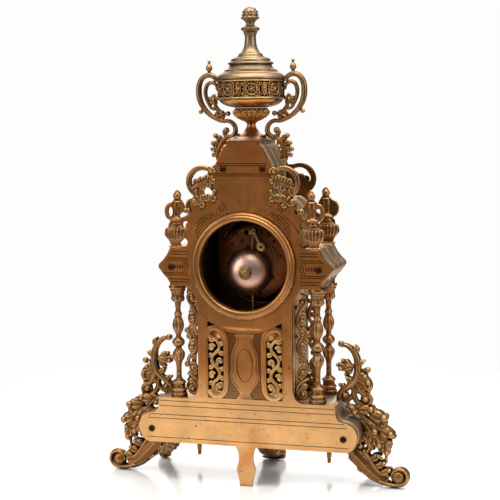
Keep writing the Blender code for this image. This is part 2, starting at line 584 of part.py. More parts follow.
# --- dial, hands and bezel ------------------------------------------------------------
def make_dial():
    holes = [circle((0, DIAL_Z), 2.6, 12)]
    for way in (1, -1):
        holes.append(circle((way * BARREL_X, DIAL_Z - BARREL_DROP), WINDER + 1.4, 14))
    flat("dial", circle((0, DIAL_Z), DIAL_RADIUS, 48), holes,
         DIAL_FACE, DIAL_FACE + DIAL_THICKNESS, ENAMEL)
    seat = BEZEL_RADIUS - 9.8
    out = FRONT - BEZEL_RISE
    bezel = [(seat - 1.4, FRONT - 5.9), (seat, FRONT - 5.9), (seat, FRONT - GAP),
             (BEZEL_RADIUS, FRONT - GAP), (BEZEL_RADIUS, FRONT - 3.0), (BEZEL_RADIUS - 2.6, out + 1.4),
             (BEZEL_RADIUS - 6.6, out), (seat - 1.4, out + 1.6)]
    turned("bezel", bezel, (0, 0, DIAL_Z), YELLOW_BRASS, 48, along_y=True, closed=True)
    back = FRONT - 5.9 + GAP + GLASS_THICKNESS
    disc("bezel_glass", seat - GAP, FRONT - 5.9 + GAP, back, (0, DIAL_Z), GLASS, 36)
    pin = [(0, 8.0), (1.3, 8.0), (1.3, -8.0), (0, -8.0)]
    turned("bezel_hinge_pin", pin, (BEZEL_RADIUS + 1.9, FRONT - 2.5, DIAL_Z), STEEL, 12)


def hand(name, length, front, thickness, eye):
    """A pierced hand pointing up, with a boss, a fretted shoulder and a fine tip."""
    blade = smooth([(1.2, eye + 3.4), (1.0, length * 0.42), (3.2, length * 0.50), (4.4, length * 0.60),
                    (2.2, length * 0.70), (0.9, length * 0.76), (1.6, length * 0.82), (0.3, length)], 3)
    tail = [(0, -eye - 1.9)] + arc((0, 0), eye + 1.9, -80, 62, 10)
    outline = [(x, DIAL_Z + z) for x, z in tail + blade]
    gap = [(x, DIAL_Z + z) for x, z in smooth(
        [(0, length * 0.51), (2.4, length * 0.60), (0, length * 0.68), (-2.4, length * 0.60)],
        2, closed=True)]
    hole = circle((0, DIAL_Z), eye, 12)
    return flat(name, mirrored(outline), [gap, hole], front, front + thickness, STEEL)


def make_hands():
    hand("hour_hand", 25.0, DIAL_FACE - 1.8, 0.7, 1.9)
    hand("minute_hand", 37.0, DIAL_FACE - 3.4, 0.7, ARBOR + 0.02)
    disc("centre_arbor", ARBOR, DIAL_FACE - 4.4, MOVEMENT_BACK - 1.0, (0, DIAL_Z), STEEL, 12)


# --- movement ---------------------------------------------------------------------------
def make_movement():
    """The round movement: two plates on four pillars, and the two spring barrels."""
    centre = (0, DIAL_Z)
    winders = []
    for way in (1, -1):
        winders.append(circle((way * BARREL_X, DIAL_Z - BARREL_DROP), WINDER + RUNNING, 12))
    flat("movement_front_plate", circle(centre, MOVEMENT_RADIUS, 32),
         winders + [circle(centre, ARBOR + RUNNING, 10)],
         MOVEMENT_FRONT, MOVEMENT_FRONT + MOVEMENT_PLATE, YELLOW_BRASS)
    flat("movement_back_plate", circle(centre, MOVEMENT_RADIUS, 32),
         winders + [circle((7.1, DIAL_Z + 33.4), 2.9, 12)],
         MOVEMENT_BACK, MOVEMENT_BACK + MOVEMENT_PLATE, ORANGE_BRASS)
    low = MOVEMENT_FRONT + MOVEMENT_PLATE + GAP
    high = MOVEMENT_BACK - GAP
    reach = MOVEMENT_RADIUS - 4.0
    for number, angle in enumerate((57.0, 123.0, 258.0, 282.0), start=1):
        x = reach * math.cos(math.radians(angle))
        z = DIAL_Z + reach * math.sin(math.radians(angle))
        disc("movement_pillar_%d" % number, PILLAR, low, high, (x, z), YELLOW_BRASS, 12)
    lead = DIAL_FACE - 0.6
    tail = MOVEMENT_BACK + MOVEMENT_PLATE + 1.0
    barrel = [(0, tail), (WINDER, tail), (WINDER, high - 4.0), (BARREL_RADIUS, high - 4.0),
              (BARREL_RADIUS, low + 4.0), (WINDER, low + 4.0), (WINDER, lead), (0, lead)]
    for name, way in (("going_barrel", 1), ("strike_barrel", -1)):
        turned(name, barrel, (way * BARREL_X, 0, DIAL_Z - BARREL_DROP), YELLOW_BRASS, 20, along_y=True)


def make_strike():
    """The bell on its post, its nut, and the hammer that hangs beside it."""
    plate_back = MOVEMENT_BACK + MOVEMENT_PLATE
    rim = plate_back + 7.6
    crest = rim + BELL_HEIGHT
    foot = BELL_X + 19.0
    arm_y = plate_back + 5.8
    tube("bell_stand", [(foot, plate_back + GAP, BELL_Z), (foot, arm_y - 1.6, BELL_Z),
                        (foot - 1.6, arm_y, BELL_Z), (BELL_X + 1.6, arm_y, BELL_Z),
                        (BELL_X, arm_y + 1.6, BELL_Z), (BELL_X, crest + 3.0, BELL_Z)], 1.4, STEEL)
    outer = arc((0, 0), 1.0, 90, 0, 6)[1:]
    shell = [(BELL_RADIUS * x ** 0.86, rim + BELL_HEIGHT * z) for x, z in outer]
    inner = [((BELL_RADIUS - BELL_WALL) * x ** 0.86, rim + (BELL_HEIGHT - BELL_WALL) * z) for x, z in outer]
    hole = 1.6 + GAP
    bell = [(hole, crest)] + shell + inner[::-1] + [(hole, crest - BELL_WALL)]
    turned("bell", bell, (BELL_X, 0, BELL_Z), BELL_METAL, 28, along_y=True, closed=True)
    nut = [(hole, crest + 4.4), (3.6, crest + 4.4), (6.2, crest + 2.6), (6.9, crest + GAP),
           (hole, crest + GAP)]
    turned("bell_nut", nut, (BELL_X, 0, BELL_Z), YELLOW_BRASS, 16, along_y=True, closed=True)
    reach = math.hypot(HEAD_X - HAMMER_X, HAMMER_Z - HEAD_Z)
    lean = math.atan2(HEAD_X - HAMMER_X, HAMMER_Z - HEAD_Z)
    arm = [(1.6, -2.0), (1.0, -reach + HAMMER_HEAD)]
    head = arc((0, -reach), HAMMER_HEAD, 77, -257, 20)
    eye = arc((0, 0), 2.6, 230, -50, 12)
    outline = eye + arm[1:] + head[1:-1] + [(-x, z) for x, z in arm[1:]]
    hammer = flat("hammer", outline, [circle((0, -reach), 1.5, 10), circle((0, 0), 1.0, 8)],
                  rim - 1.0, rim + 5.0, YELLOW_BRASS)
    hammer.location = (HAMMER_X * MM, hammer.location.y, HAMMER_Z * MM)
    hammer.rotation_euler = (math.pi / 2, -lean, 0)


def make_pendulum():
    """The suspension cock at the top of the back plate, and the pendulum that hangs from it."""
    plate_back = MOVEMENT_BACK + MOVEMENT_PLATE
    top = DIAL_Z + 31.0
    box("suspension_cock", (-4.0, plate_back + GAP, top + GAP), (4.0, plate_back + 4.6, top + 6.0),
        YELLOW_BRASS)
    low = -PENDULUM_LENGTH
    rod = [(-0.8, -0.3), (0.8, -0.3), (0.8, low + BOB_RADIUS - 0.2)]
    bob = arc((0, low), BOB_RADIUS, 87, -267, 30)
    outline = [(x, z) for x, z in rod[1:2] + bob + rod[:1]]
    pendulum = flat("pendulum", outline[::-1], [], plate_back + 1.4, plate_back + 3.4, YELLOW_BRASS)
    pendulum.location = (0, pendulum.location.y, top * MM)


clear_scene()
clock = bpy.data.collections.new("mantel_clock")
bpy.context.scene.collection.children.link(clock)
middle_plane = bpy.data.objects.new("middle_plane", None)
middle_plane.location = (0, MID_Y * MM, 0)
clock.objects.link(middle_plane)

make_plates()
make_sides()
make_cap()
make_columns()
make_side_ornaments()
make_front_feet()
make_screws()
make_urn()
make_handles()
make_dial()
make_hands()
make_movement()
make_strike()
make_pendulum()
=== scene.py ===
import json
import math

import bmesh
import bpy
from mathutils import Matrix, Vector

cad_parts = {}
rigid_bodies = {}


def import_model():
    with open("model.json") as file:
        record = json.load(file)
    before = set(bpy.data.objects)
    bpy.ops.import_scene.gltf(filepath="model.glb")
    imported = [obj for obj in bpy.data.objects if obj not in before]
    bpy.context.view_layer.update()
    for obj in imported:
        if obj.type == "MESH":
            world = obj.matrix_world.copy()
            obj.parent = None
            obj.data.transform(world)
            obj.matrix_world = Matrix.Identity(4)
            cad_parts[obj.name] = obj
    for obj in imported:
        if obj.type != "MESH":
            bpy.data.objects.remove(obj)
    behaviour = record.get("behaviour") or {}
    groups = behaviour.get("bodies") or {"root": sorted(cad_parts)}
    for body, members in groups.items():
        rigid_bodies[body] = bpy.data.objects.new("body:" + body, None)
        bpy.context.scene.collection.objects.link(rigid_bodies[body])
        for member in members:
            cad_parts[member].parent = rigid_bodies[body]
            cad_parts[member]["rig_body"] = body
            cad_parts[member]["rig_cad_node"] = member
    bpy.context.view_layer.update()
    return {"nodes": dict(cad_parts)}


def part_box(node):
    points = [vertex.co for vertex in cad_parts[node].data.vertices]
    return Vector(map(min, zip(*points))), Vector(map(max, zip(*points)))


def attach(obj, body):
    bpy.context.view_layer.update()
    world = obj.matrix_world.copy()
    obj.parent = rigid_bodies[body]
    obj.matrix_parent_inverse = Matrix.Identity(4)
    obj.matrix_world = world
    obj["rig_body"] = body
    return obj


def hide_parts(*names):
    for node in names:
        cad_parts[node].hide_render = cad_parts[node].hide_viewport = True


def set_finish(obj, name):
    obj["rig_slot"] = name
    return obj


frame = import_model()
MM = 0.001

# ---------------------------------------------------------------- studio
# A pale glossy table under a soft overhead light. The table is a round sheet whose edge fades
# away into a plain white surround, and the room round it is dimmer than the table.
scene = bpy.context.scene
scene.view_settings.view_transform = "Standard"


def nodes_of(tree):
    """An empty node tree's maker: node(kind, sockets...) and link(a, b)."""
    tree.nodes.clear()

    def node(kind, **values):
        made = tree.nodes.new(kind)
        for key, value in values.items():
            setattr(made, key, value)
        return made

    return node, tree.links.new


def ramp(node, link, source, stops):
    """A colour ramp fed by a socket, with (position, grey or colour) stops."""
    made = node("ShaderNodeValToRGB")
    elements = made.color_ramp.elements
    while len(elements) < len(stops):
        elements.new(0.5)
    for element, (position, tone) in zip(elements, stops):
        element.position = position
        element.color = (tone, tone, tone, 1) if isinstance(tone, float) else (*tone, 1)
    link(source, made.inputs["Fac"])
    return made.outputs["Color"]


world = bpy.data.worlds.new("studio")
scene.world = world
world.use_nodes = True
node, link = nodes_of(world.node_tree)
direction = node("ShaderNodeSeparateXYZ")
link(node("ShaderNodeTexCoord").outputs["Generated"], direction.inputs[0])
height = node("ShaderNodeMath", operation="MULTIPLY_ADD")
link(direction.outputs["Z"], height.inputs[0])
height.inputs[1].default_value = 0.5
height.inputs[2].default_value = 0.5
room = node("ShaderNodeBackground")
link(ramp(node, link, height.outputs[0], [(0.0, 0.40), (0.46, 0.22), (0.53, 0.10), (0.62, 0.16),
                                          (0.8, 0.5), (1.0, 0.9)]), room.inputs["Color"])
surround = node("ShaderNodeBackground")
surround.inputs["Color"].default_value = (0.985, 0.98, 0.975, 1)
seen = node("ShaderNodeMixShader")
link(node("ShaderNodeLightPath").outputs["Is Camera Ray"], seen.inputs[0])
link(room.outputs[0], seen.inputs[1])
link(surround.outputs[0], seen.inputs[2])
link(seen.outputs[0], node("ShaderNodeOutputWorld").inputs[0])

bpy.ops.object.select_all(action="DESELECT")
bpy.ops.mesh.primitive_circle_add(vertices=96, radius=1.3, fill_type="NGON",
                                  location=(0, 0, -0.0002))
table = bpy.context.object
table.name = "table"
pale = bpy.data.materials.new("table_white")
pale.use_nodes = True
node, link = nodes_of(pale.node_tree)
sheet = node("ShaderNodeBsdfPrincipled")
sheet.inputs["Base Color"].default_value = (0.86, 0.86, 0.865, 1)
sheet.inputs["Roughness"].default_value = 0.22
away = node("ShaderNodeVectorMath", operation="LENGTH")
link(node("ShaderNodeTexCoord").outputs["Object"], away.inputs[0])
fade = ramp(node, link, away.outputs["Value"], [(0.42, 1.0), (0.78, 0.0)])
gone = node("ShaderNodeBsdfTransparent")
edge = node("ShaderNodeMixShader")
link(fade, edge.inputs[0])
link(gone.outputs[0], edge.inputs[1])
link(sheet.outputs[0], edge.inputs[2])
link(edge.outputs[0], node("ShaderNodeOutputMaterial").inputs[0])
table.data.materials.append(pale)


def soft_light(name, place, aim, size, power, tint):
    light = bpy.data.lights.new(name, "AREA")
    light.shape = "RECTANGLE"
    light.size, light.size_y = size
    light.energy = power
    light.color = tint
    lamp = bpy.data.objects.new(name, light)
    lamp.location = place
    lamp.rotation_euler = (Vector(aim) - Vector(place)).to_track_quat("-Z", "Y").to_euler()
    scene.collection.objects.link(lamp)


soft_light("overhead", (-0.15, 0.25, 1.55), (0, 0.05, 0.1), (1.5, 1.2), 26, (1.0, 0.985, 0.96))
soft_light("left_box", (1.25, 1.15, 0.75), (0, 0, 0.25), (0.7, 1.1), 9, (1.0, 0.97, 0.93))
soft_light("right_box", (-1.55, 0.55, 0.8), (0, 0, 0.25), (0.6, 1.1), 10, (1.0, 0.98, 0.95))
soft_light("front_box", (0.5, -1.5, 0.9), (0, 0, 0.25), (1.0, 1.0), 12, (1.0, 0.98, 0.95))

yaw, pitch, roll = math.radians(16.494), math.radians(-6.05), math.radians(-0.651)
lens_data = bpy.data.cameras.new("camera")
lens_data.sensor_width = 36
lens_data.lens = 94.66
camera = bpy.data.objects.new("camera", lens_data)
ahead = Vector((math.sin(yaw) * math.cos(pitch), -math.cos(yaw) * math.cos(pitch),
                math.sin(pitch)))
across = Vector((-math.cos(yaw), -math.sin(yaw), 0))
upward = across.cross(ahead)
turn = Matrix((across, upward, -ahead)).transposed().to_4x4()
camera.matrix_world = (Matrix.Translation((-0.40538, 1.40405, 0.40855)) @ turn
                       @ Matrix.Rotation(roll, 4, "Z"))
scene.collection.objects.link(camera)
scene.camera = camera

# ---------------------------------------------------------------- back plate
# The rear of the case is one cast brass plate with its edges filed round. Border lines are cut
# into it with a graver, and the lower panel is sunk and hatched round raised strap work.
BACK_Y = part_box("back_plate")[1].y / MM
DIAL_Z = (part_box("rear_ring")[0].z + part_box("rear_ring")[1].z) / 2 / MM


def choose(*pieces):
    """Select these pieces and nothing else; the last one is the active one."""
    bpy.ops.object.select_all(action="DESELECT")
    for piece in pieces:
        piece.select_set(True)
    bpy.context.view_layer.objects.active = pieces[-1]


def settle(piece):
    """Put the piece's place, turn and scale into its mesh."""
    choose(piece)
    bpy.ops.object.transform_apply(location=True, rotation=True, scale=True)
    return piece


def add_modifier(piece, kind, **values):
    choose(piece)
    modifier = piece.modifiers.new(kind.lower(), kind)
    for key, value in values.items():
        setattr(modifier, key, value)
    bpy.ops.object.modifier_apply(modifier=modifier.name)
    return piece


def joined(name, pieces):
    """One object from several, named, with its place in its mesh."""
    choose(*pieces)
    if len(pieces) > 1:
        bpy.ops.object.join()
    piece = bpy.context.view_layer.objects.active
    piece.name = name
    piece.data.name = name
    return settle(piece)


def merged_copy(node_name, name):
    """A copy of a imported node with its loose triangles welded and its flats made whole."""
    choose(frame["nodes"][node_name])
    bpy.ops.object.duplicate()
    piece = bpy.context.object
    piece.parent = None
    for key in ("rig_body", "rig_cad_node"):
        del piece[key]
    piece.name = name
    piece.data.materials.clear()
    bpy.ops.object.mode_set(mode="EDIT")
    bpy.ops.mesh.select_all(action="SELECT")
    bpy.ops.mesh.remove_doubles(threshold=0.00002)
    bpy.ops.mesh.dissolve_limited(angle_limit=math.radians(0.5))
    bpy.ops.mesh.select_all(action="DESELECT")
    bpy.ops.object.mode_set(mode="OBJECT")
    return piece


def smooth_shaded(piece, angle=32):
    choose(piece)
    bpy.ops.object.shade_smooth_by_angle(angle=math.radians(angle))
    return piece


def aged_brass_painted_light(name, clean, worn_and_highlight, shade_and_stain, rough=(0.26, 0.46), shade_reach=0.0045, grain=0.25,
               rubbed_and_highlit=False, foot=None, floor=None, shade_ramp_stops=(0.30, 0.82)):
    """Cast brass: cloudy and stained, brighter on its high spots for wear plus a painted
    highlight, and darker in creases and corners with painted shade.
    """
    made = bpy.data.materials.new(name)
    made.use_nodes = True
    node, link = nodes_of(made.node_tree)
    place = node("ShaderNodeTexCoord").outputs["Object"]

    def noise(scale, detail, stretch=None):
        texture = node("ShaderNodeTexNoise")
        texture.inputs["Scale"].default_value = scale
        texture.inputs["Detail"].default_value = detail
        source = place
        if stretch:
            mapping = node("ShaderNodeMapping")
            mapping.inputs["Scale"].default_value = stretch
            link(place, mapping.inputs["Vector"])
            source = mapping.outputs["Vector"]
        link(source, texture.inputs["Vector"])
        return texture.outputs["Fac"]

    def mix(factor, low, high):
        blend = node("ShaderNodeMix", data_type="RGBA")
        link(factor, blend.inputs["Factor"])
        for socket, value in ((blend.inputs["A"], low), (blend.inputs["B"], high)):
            if isinstance(value, tuple):
                socket.default_value = (*value, 1)
            else:
                link(value, socket)
        return blend.outputs["Result"]

    clouds = ramp(node, link, noise(38, 6), [(0.36, 0.0), (0.68, 1.0)])
    duller = tuple(value * 0.62 for value in clean)
    colour = mix(clouds, duller, clean)
    blotches = ramp(node, link, noise(9, 3), [(0.42, 0.0), (0.66, 1.0)])
    redder = (clean[0] * 0.85, clean[1] * 0.66, clean[2] * 0.55)
    colour = mix(blotches, colour, redder)
    streaks = ramp(node, link, noise(30, 5, (5.5, 5.5, 0.9)), [(0.46, 0.0), (0.74, 1.0)])
    colour = mix(streaks, colour, (clean[0] * 0.76, clean[1] * 0.70, clean[2] * 0.62))
    # Partly painted highlight: high spots found by pointiness take the brighter colour, for both
    # real wear and the light they catch.
    if rubbed_and_highlit:
        edges = ramp(node, link, node("ShaderNodeNewGeometry").outputs["Pointiness"],
                     [(0.505, 0.0), (0.57, 1.0)])
        colour = mix(edges, colour, worn_and_highlight)
    if foot or floor:
        split = node("ShaderNodeSeparateXYZ")
        link(place, split.inputs["Vector"])
    if foot:
        height = ramp(node, link, split.outputs["Z"], [(0.0925, 1.0), (0.1300, 0.0)])
        patchy = mix(clouds, tuple(value * 0.76 for value in foot), foot)
        stains = ramp(node, link, noise(26, 7), [(0.52, 0.0), (0.74, 1.0)])
        patchy = mix(stains, patchy, (foot[0] * 0.74, foot[1] * 0.56, foot[2] * 0.46))
        colour = mix(height, colour, patchy)
    if floor:
        sunk_in = node("ShaderNodeMapRange")
        link(split.outputs["Y"], sunk_in.inputs["Value"])
        for socket, value in (("From Min", floor[0] * MM), ("From Max", floor[1] * MM),
                              ("To Min", 0.62), ("To Max", 0.0)):
            sunk_in.inputs[socket].default_value = value
        colour = mix(sunk_in.outputs["Result"], colour, shade_and_stain)
    # Painted shade: ambient occlusion darkens the colour in creases, corners and between parts.
    occlusion_shade = node("ShaderNodeAmbientOcclusion", samples=6)
    occlusion_shade.inputs["Distance"].default_value = shade_reach
    depth = ramp(node, link, occlusion_shade.outputs["AO"], [(shade_ramp_stops[0], 1.0), (shade_ramp_stops[1], 0.0)])
    colour = mix(depth, colour, shade_and_stain)
    spots = ramp(node, link, noise(310, 3), [(0.26, 1.0), (0.31, 0.0)])
    colour = mix(spots, colour, shade_and_stain)

    shader = node("ShaderNodeBsdfPrincipled")
    shader.inputs["Metallic"].default_value = 1.0
    link(colour, shader.inputs["Base Color"])
    gloss = node("ShaderNodeMapRange")
    link(noise(70, 5), gloss.inputs["Value"])
    gloss.inputs["To Min"].default_value = rough[0]
    gloss.inputs["To Max"].default_value = rough[1]
    link(gloss.outputs["Result"], shader.inputs["Roughness"])
    skin = node("ShaderNodeBump")
    skin.inputs["Strength"].default_value = grain
    skin.inputs["Distance"].default_value = 0.0006
    link(noise(420, 6), skin.inputs["Height"])
    brushed = node("ShaderNodeBump")
    brushed.inputs["Strength"].default_value = grain * 0.6
    brushed.inputs["Distance"].default_value = 0.0004
    link(noise(60, 4, (1.0, 1.0, 9.0)), brushed.inputs["Height"])
    link(skin.outputs["Normal"], brushed.inputs["Normal"])
    link(brushed.outputs["Normal"], shader.inputs["Normal"])
    link(shader.outputs[0], node("ShaderNodeOutputMaterial").inputs[0])
    return made


def block(low, high):
    """A cube primitive between two corners, in millimetres."""
    centre = [(a + b) / 2 * MM for a, b in zip(low, high)]
    bpy.ops.mesh.primitive_cube_add(size=1, location=centre)
    made = bpy.context.object
    made.scale = [(b - a) * MM for a, b in zip(low, high)]
    return settle(made)


def new_curve(kind, count, plane_y=0.0):
    """A curve object, its data and its one spline, with count points still to be placed."""
    bpy.ops.curve.primitive_bezier_curve_add(location=(0, plane_y * MM, 0))
    made = bpy.context.object
    made.data.splines.clear()
    spline = made.data.splines.new(kind)
    (spline.bezier_points if kind == "BEZIER" else spline.points).add(count - 1)
    return made, made.data, spline


def as_mesh(curve):
    choose(curve)
    bpy.ops.object.convert(target="MESH")
    return bpy.context.object


def strand(path, thickness, plane_y, flat=1.0, steps=5, sides=2):
    """A tapering cast rib: a bevelled curve through (x, z) points with a radius at each."""
    rib, shape, spline = new_curve("BEZIER", len(path), plane_y)
    if not isinstance(thickness, (list, tuple)):
        thickness = [thickness] * len(path)
    for index, (point, (x, z)) in enumerate(zip(spline.bezier_points, path)):
        share = index * (len(thickness) - 1) / (len(path) - 1)
        low = min(int(share), len(thickness) - 2)
        point.co = (x * MM, 0, z * MM)
        point.radius = thickness[low] + (thickness[low + 1] - thickness[low]) * (share - low)
        point.handle_left_type = "AUTO"
        point.handle_right_type = "AUTO"
    shape.dimensions = "3D"
    shape.resolution_u = steps
    shape.bevel_depth = MM
    shape.bevel_resolution = sides
    shape.use_fill_caps = True
    rib.scale = (1, flat, 1)
    return settle(as_mesh(rib))


def ring_points(centre, radius, start, end, count):
    """Points on an arc between two angles in degrees."""
    points = []
    for step in range(count):
        angle = math.radians(start + (end - start) * step / (count - 1))
        points.append((centre[0] + radius * math.cos(angle), centre[1] + radius * math.sin(angle)))
    return points


def across_middle(points):
    return [(-x, z) for x, z in points]


def strap(path, width, low_y, high_y):
    """A flat raised band along a smooth path: a curve's wall made solid, with soft edges."""
    band, shape, spline = new_curve("BEZIER", len(path), (low_y + high_y) / 2)
    for point, (x, z) in zip(spline.bezier_points, path):
        point.co = (x * MM, z * MM, 0)
        point.handle_left_type = "AUTO"
        point.handle_right_type = "AUTO"
    shape.dimensions = "3D"
    shape.twist_mode = "Z_UP"
    shape.resolution_u = 6
    shape.extrude = (high_y - low_y) / 2 * MM
    band.rotation_euler = (math.pi / 2, 0, 0)
    band = settle(as_mesh(band))
    add_modifier(band, "SOLIDIFY", thickness=width * MM, offset=0.0)
    add_modifier(band, "BEVEL", width=0.5 * MM, segments=2, limit_method="ANGLE",
                 angle_limit=math.radians(50))
    return band



orange_brass = aged_brass_painted_light("orange_brass_cast", (0.60, 0.240, 0.070), (0.84, 0.54, 0.23),
                          (0.060, 0.028, 0.012), foot=(0.93, 0.515, 0.205),
                          floor=(BACK_Y - 0.95, BACK_Y - 0.15))
golden_brass = aged_brass_painted_light("golden_brass_cast", (0.58, 0.305, 0.100), (0.90, 0.66, 0.32),
                          (0.10, 0.046, 0.018), rubbed_and_highlit=True)


def filled(outline, low_y, high_y):
    """A flat solid in the XZ plane with a given outline."""
    leaf, shape, spline = new_curve("POLY", len(outline), (low_y + high_y) / 2)
    for point, (x, z) in zip(spline.points, outline):
        point.co = (x * MM, z * MM, 0, 1)
    spline.use_cyclic_u = True
    shape.dimensions = "2D"
    shape.fill_mode = "BOTH"
    shape.extrude = (high_y - low_y) / 2 * MM
    leaf.rotation_euler = (math.pi / 2, 0, 0)
    leaf = settle(as_mesh(leaf))
    bpy.ops.object.mode_set(mode="EDIT")
    bpy.ops.mesh.select_all(action="SELECT")
    bpy.ops.mesh.remove_doubles(threshold=0.00001)
    bpy.ops.mesh.normals_make_consistent(inside=False)
    bpy.ops.object.mode_set(mode="OBJECT")
    return leaf


def cut_away(piece, cutters):
    """Cut the joined cutters out of the piece."""
    tool = joined("graver", cutters)
    add_modifier(piece, "BOOLEAN", operation="DIFFERENCE", solver="EXACT", use_self=True,
                 object=tool)
    bpy.data.objects.remove(tool)
    return piece


def line_cut(start, end, face_y, width=1.0, depth=0.8):
    """A straight graver line between two (x, z) points on a face."""
    length = math.hypot(end[0] - start[0], end[1] - start[1])
    made = block((-length / 2, -depth, -width / 2), (length / 2, depth, width / 2))
    made.rotation_euler = (0, -math.atan2(end[1] - start[1], end[0] - start[0]), 0)
    made.location = ((start[0] + end[0]) / 2 * MM, face_y * MM, (start[1] + end[1]) / 2 * MM)
    return settle(made)


def curve_cut(path, face_y, width=0.5):
    return strand(path, width, face_y, steps=4, sides=1)


PANEL_HALF = 42.0
PANEL_ARC = 74.0
PANEL_FLOOR = 96.5
STRAP_DEPTH = 2.6
CHEVRON_Z = 240.3
FAN_RADIUS = 63.0
plate_edge = {"width": 0.55 * MM, "segments": 2, "limit_method": "ANGLE",
              "angle_limit": math.radians(50)}


def graver_lines(face_y):
    """The border lines that both plates carry, as cutters standing in one face."""
    cutters = []
    for level, half in ((90.6, 99.5), (85.0, 101.5), (75.0, 109.5), (70.6, 112.5), (49.0, 114.5)):
        cutters.append(line_cut((-half, level), (half, level), face_y, 0.75))
    for level in (352.4, 350.2, 341.6, 339.4):
        reach = 27.0 if level > 345 else 31.0
        cutters.append(line_cut((-reach, level), (reach, level), face_y))
    for side in (1, -1):
        for level, inner, outer in ((223.6, 62.5, 83.0), (226.6, 62.0, 84.0), (231.0, 62.5, 87.0),
                                    (233.2, 63.0, 89.5), (247.4, 63.0, 88.0), (249.6, 63.0, 86.0),
                                    (254.0, 62.0, 82.5), (257.0, 62.0, 81.5)):
            cutters.append(line_cut((side * inner, level), (side * outer, level), face_y))
        for foot in (62.4, 65.4):
            for rise in (6.2, -6.2):
                cutters.append(line_cut((side * (foot + 3.0), CHEVRON_Z + rise),
                                        (side * foot, CHEVRON_Z), face_y))
        for step in range(4):
            x = side * (69.5 + 2.9 * step)
            cutters.append(line_cut((x, 238.2), (x, 242.4), face_y, 1.7))
        for spread in (0.0, 3.0, 6.0):
            swirl = ring_points((33.0, 299.0), 9.0 + spread, 12, 168, 9)
            cutters.append(curve_cut([(side * x, z) for x, z in swirl], face_y, 0.8))
        for radius, start, end in ((61.5, 31, 66), (71.5, 30, 64)):
            rim = ring_points((0, DIAL_Z), radius, start, end, 7)
            cutters.append(curve_cut([(side * x, z) for x, z in rim], face_y, 0.8))
        for step in range(12):
            angle = math.radians(34 + 2.55 * step)
            low = FAN_RADIUS
            high = FAN_RADIUS + 7.4 * math.sin(math.pi * (step + 1) / 13)
            ends = [(side * r * math.cos(angle), DIAL_Z + r * math.sin(angle)) for r in (low,
                                                                                         high)]
            cutters.append(line_cut(ends[0], ends[1], face_y, 1.1))
    return cutters


back_plate = merged_copy("back_plate", "engraved_back_plate")
add_modifier(back_plate, "BEVEL", **plate_edge)
sunk = [(-PANEL_HALF, PANEL_FLOOR), (PANEL_HALF, PANEL_FLOOR)]
sunk += ring_points((0, DIAL_Z), PANEL_ARC, -55.4, -124.6, 17)
cutters = graver_lines(BACK_Y)
cutters.append(curve_cut(ring_points((0, DIAL_Z), PANEL_ARC - 2.0, -50, -130, 15), BACK_Y))
cutters.append(filled(sunk, BACK_Y - 1.3, BACK_Y + 1))
for side in (1, -1):
    loop = [(side * (82.4 + 2.7 * math.cos(a * math.pi / 6)),
             300.4 + 5.2 * math.sin(a * math.pi / 6)) for a in range(12)]
    cutters.append(filled(loop, BACK_Y - 5, BACK_Y + 1))
    cutters.append(line_cut((side * 43.2, 99.0), (side * 43.2, 178.0), BACK_Y, 0.6, 0.4))
cut_away(back_plate, cutters)
smooth_shaded(back_plate, 14)
back_plate.data.materials.append(orange_brass)
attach(back_plate, "case")
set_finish(back_plate, "orange_brass")
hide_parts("back_plate")

# ---------------------------------------------------------------- lower panel
# Strap work and a small cartouche stand in the sunk panel, level with the plate round it. The
# ground between them is hatched with the graver, and leaf scrolls are pierced at both sides.
def petal_form():
    """A rounded leaf lobe one unit long: a ball drawn out to a tip, with a crease down it."""
    bpy.ops.mesh.primitive_uv_sphere_add(segments=14, ring_count=9, radius=1)
    form = bpy.context.object
    form.rotation_euler = (0, math.pi / 2, 0)
    settle(form)
    for vertex in form.data.vertices:
        x, y, z = vertex.co
        along = (x + 1) / 2
        vertex.co.x = along
        vertex.co.z = z * (0.62 + 0.9 * along - 0.62 * along * along) * 0.5
        vertex.co.y = y * (0.55 + 0.45 * min(1, abs(z) * 2.2)) * 0.5
    form.name = "petal_form"
    return form


leaf_lobe = petal_form()
leaf_lobe.hide_render = True


def petal(root, tip, width, plane_y, depth=3.0, lean=0.0):
    """A copy of the leaf lobe from one (x, z) point to another; lean moves its tip in y."""
    piece = leaf_lobe.copy()
    piece.data = leaf_lobe.data.copy()
    piece.hide_render = False
    scene.collection.objects.link(piece)
    length = math.hypot(tip[0] - root[0], tip[1] - root[1])
    piece.scale = (length * MM, depth * MM, width * MM)
    piece.rotation_euler = (0, -math.atan2(tip[1] - root[1], tip[0] - root[0]), 0)
    piece.location = (root[0] * MM, plane_y * MM, root[1] * MM)
    settle(piece)
    if lean:
        run = Vector((tip[0] - root[0], 0, tip[1] - root[1]))
        for vertex in piece.data.vertices:
            offset = Vector((vertex.co.x / MM - root[0], 0, vertex.co.z / MM - root[1]))
            share = max(0.0, offset.dot(run) / run.length_squared)
            vertex.co.y += lean * MM * share * share
    return piece


def leaves(plane_y, depth, swell, table):
    """Leaf lobes in one plane, from a table of (root, tip, width)."""
    return [petal(root, tip, width * swell, plane_y, depth) for root, tip, width in table]


def bead(x, z, radius, plane_y, flat=1.0):
    bpy.ops.mesh.primitive_uv_sphere_add(segments=16, ring_count=10, radius=radius * MM,
                                         location=(x * MM, plane_y * MM, z * MM))
    made = bpy.context.object
    made.scale = (1, flat, 1)
    return settle(made)


def volute(centre, radius, start, turns, thick, plane_y, flat=1.0, eye=1.5):
    """A spiral end of a scroll, from its outside in to a bead at its eye."""
    count = max(6, int(abs(turns) * 10))
    path = []
    for step in range(count + 1):
        share = step / count
        angle = math.radians(start + 360 * turns * share)
        reach = radius * (1 - 0.72 * share)
        path.append((centre[0] + reach * math.cos(angle), centre[1] + reach * math.sin(angle)))
    coil = strand(path, [thick, thick * 0.9, thick * 0.65], plane_y, flat, steps=3)
    return [coil, bead(centre[0], centre[1], thick * eye, plane_y, flat)]


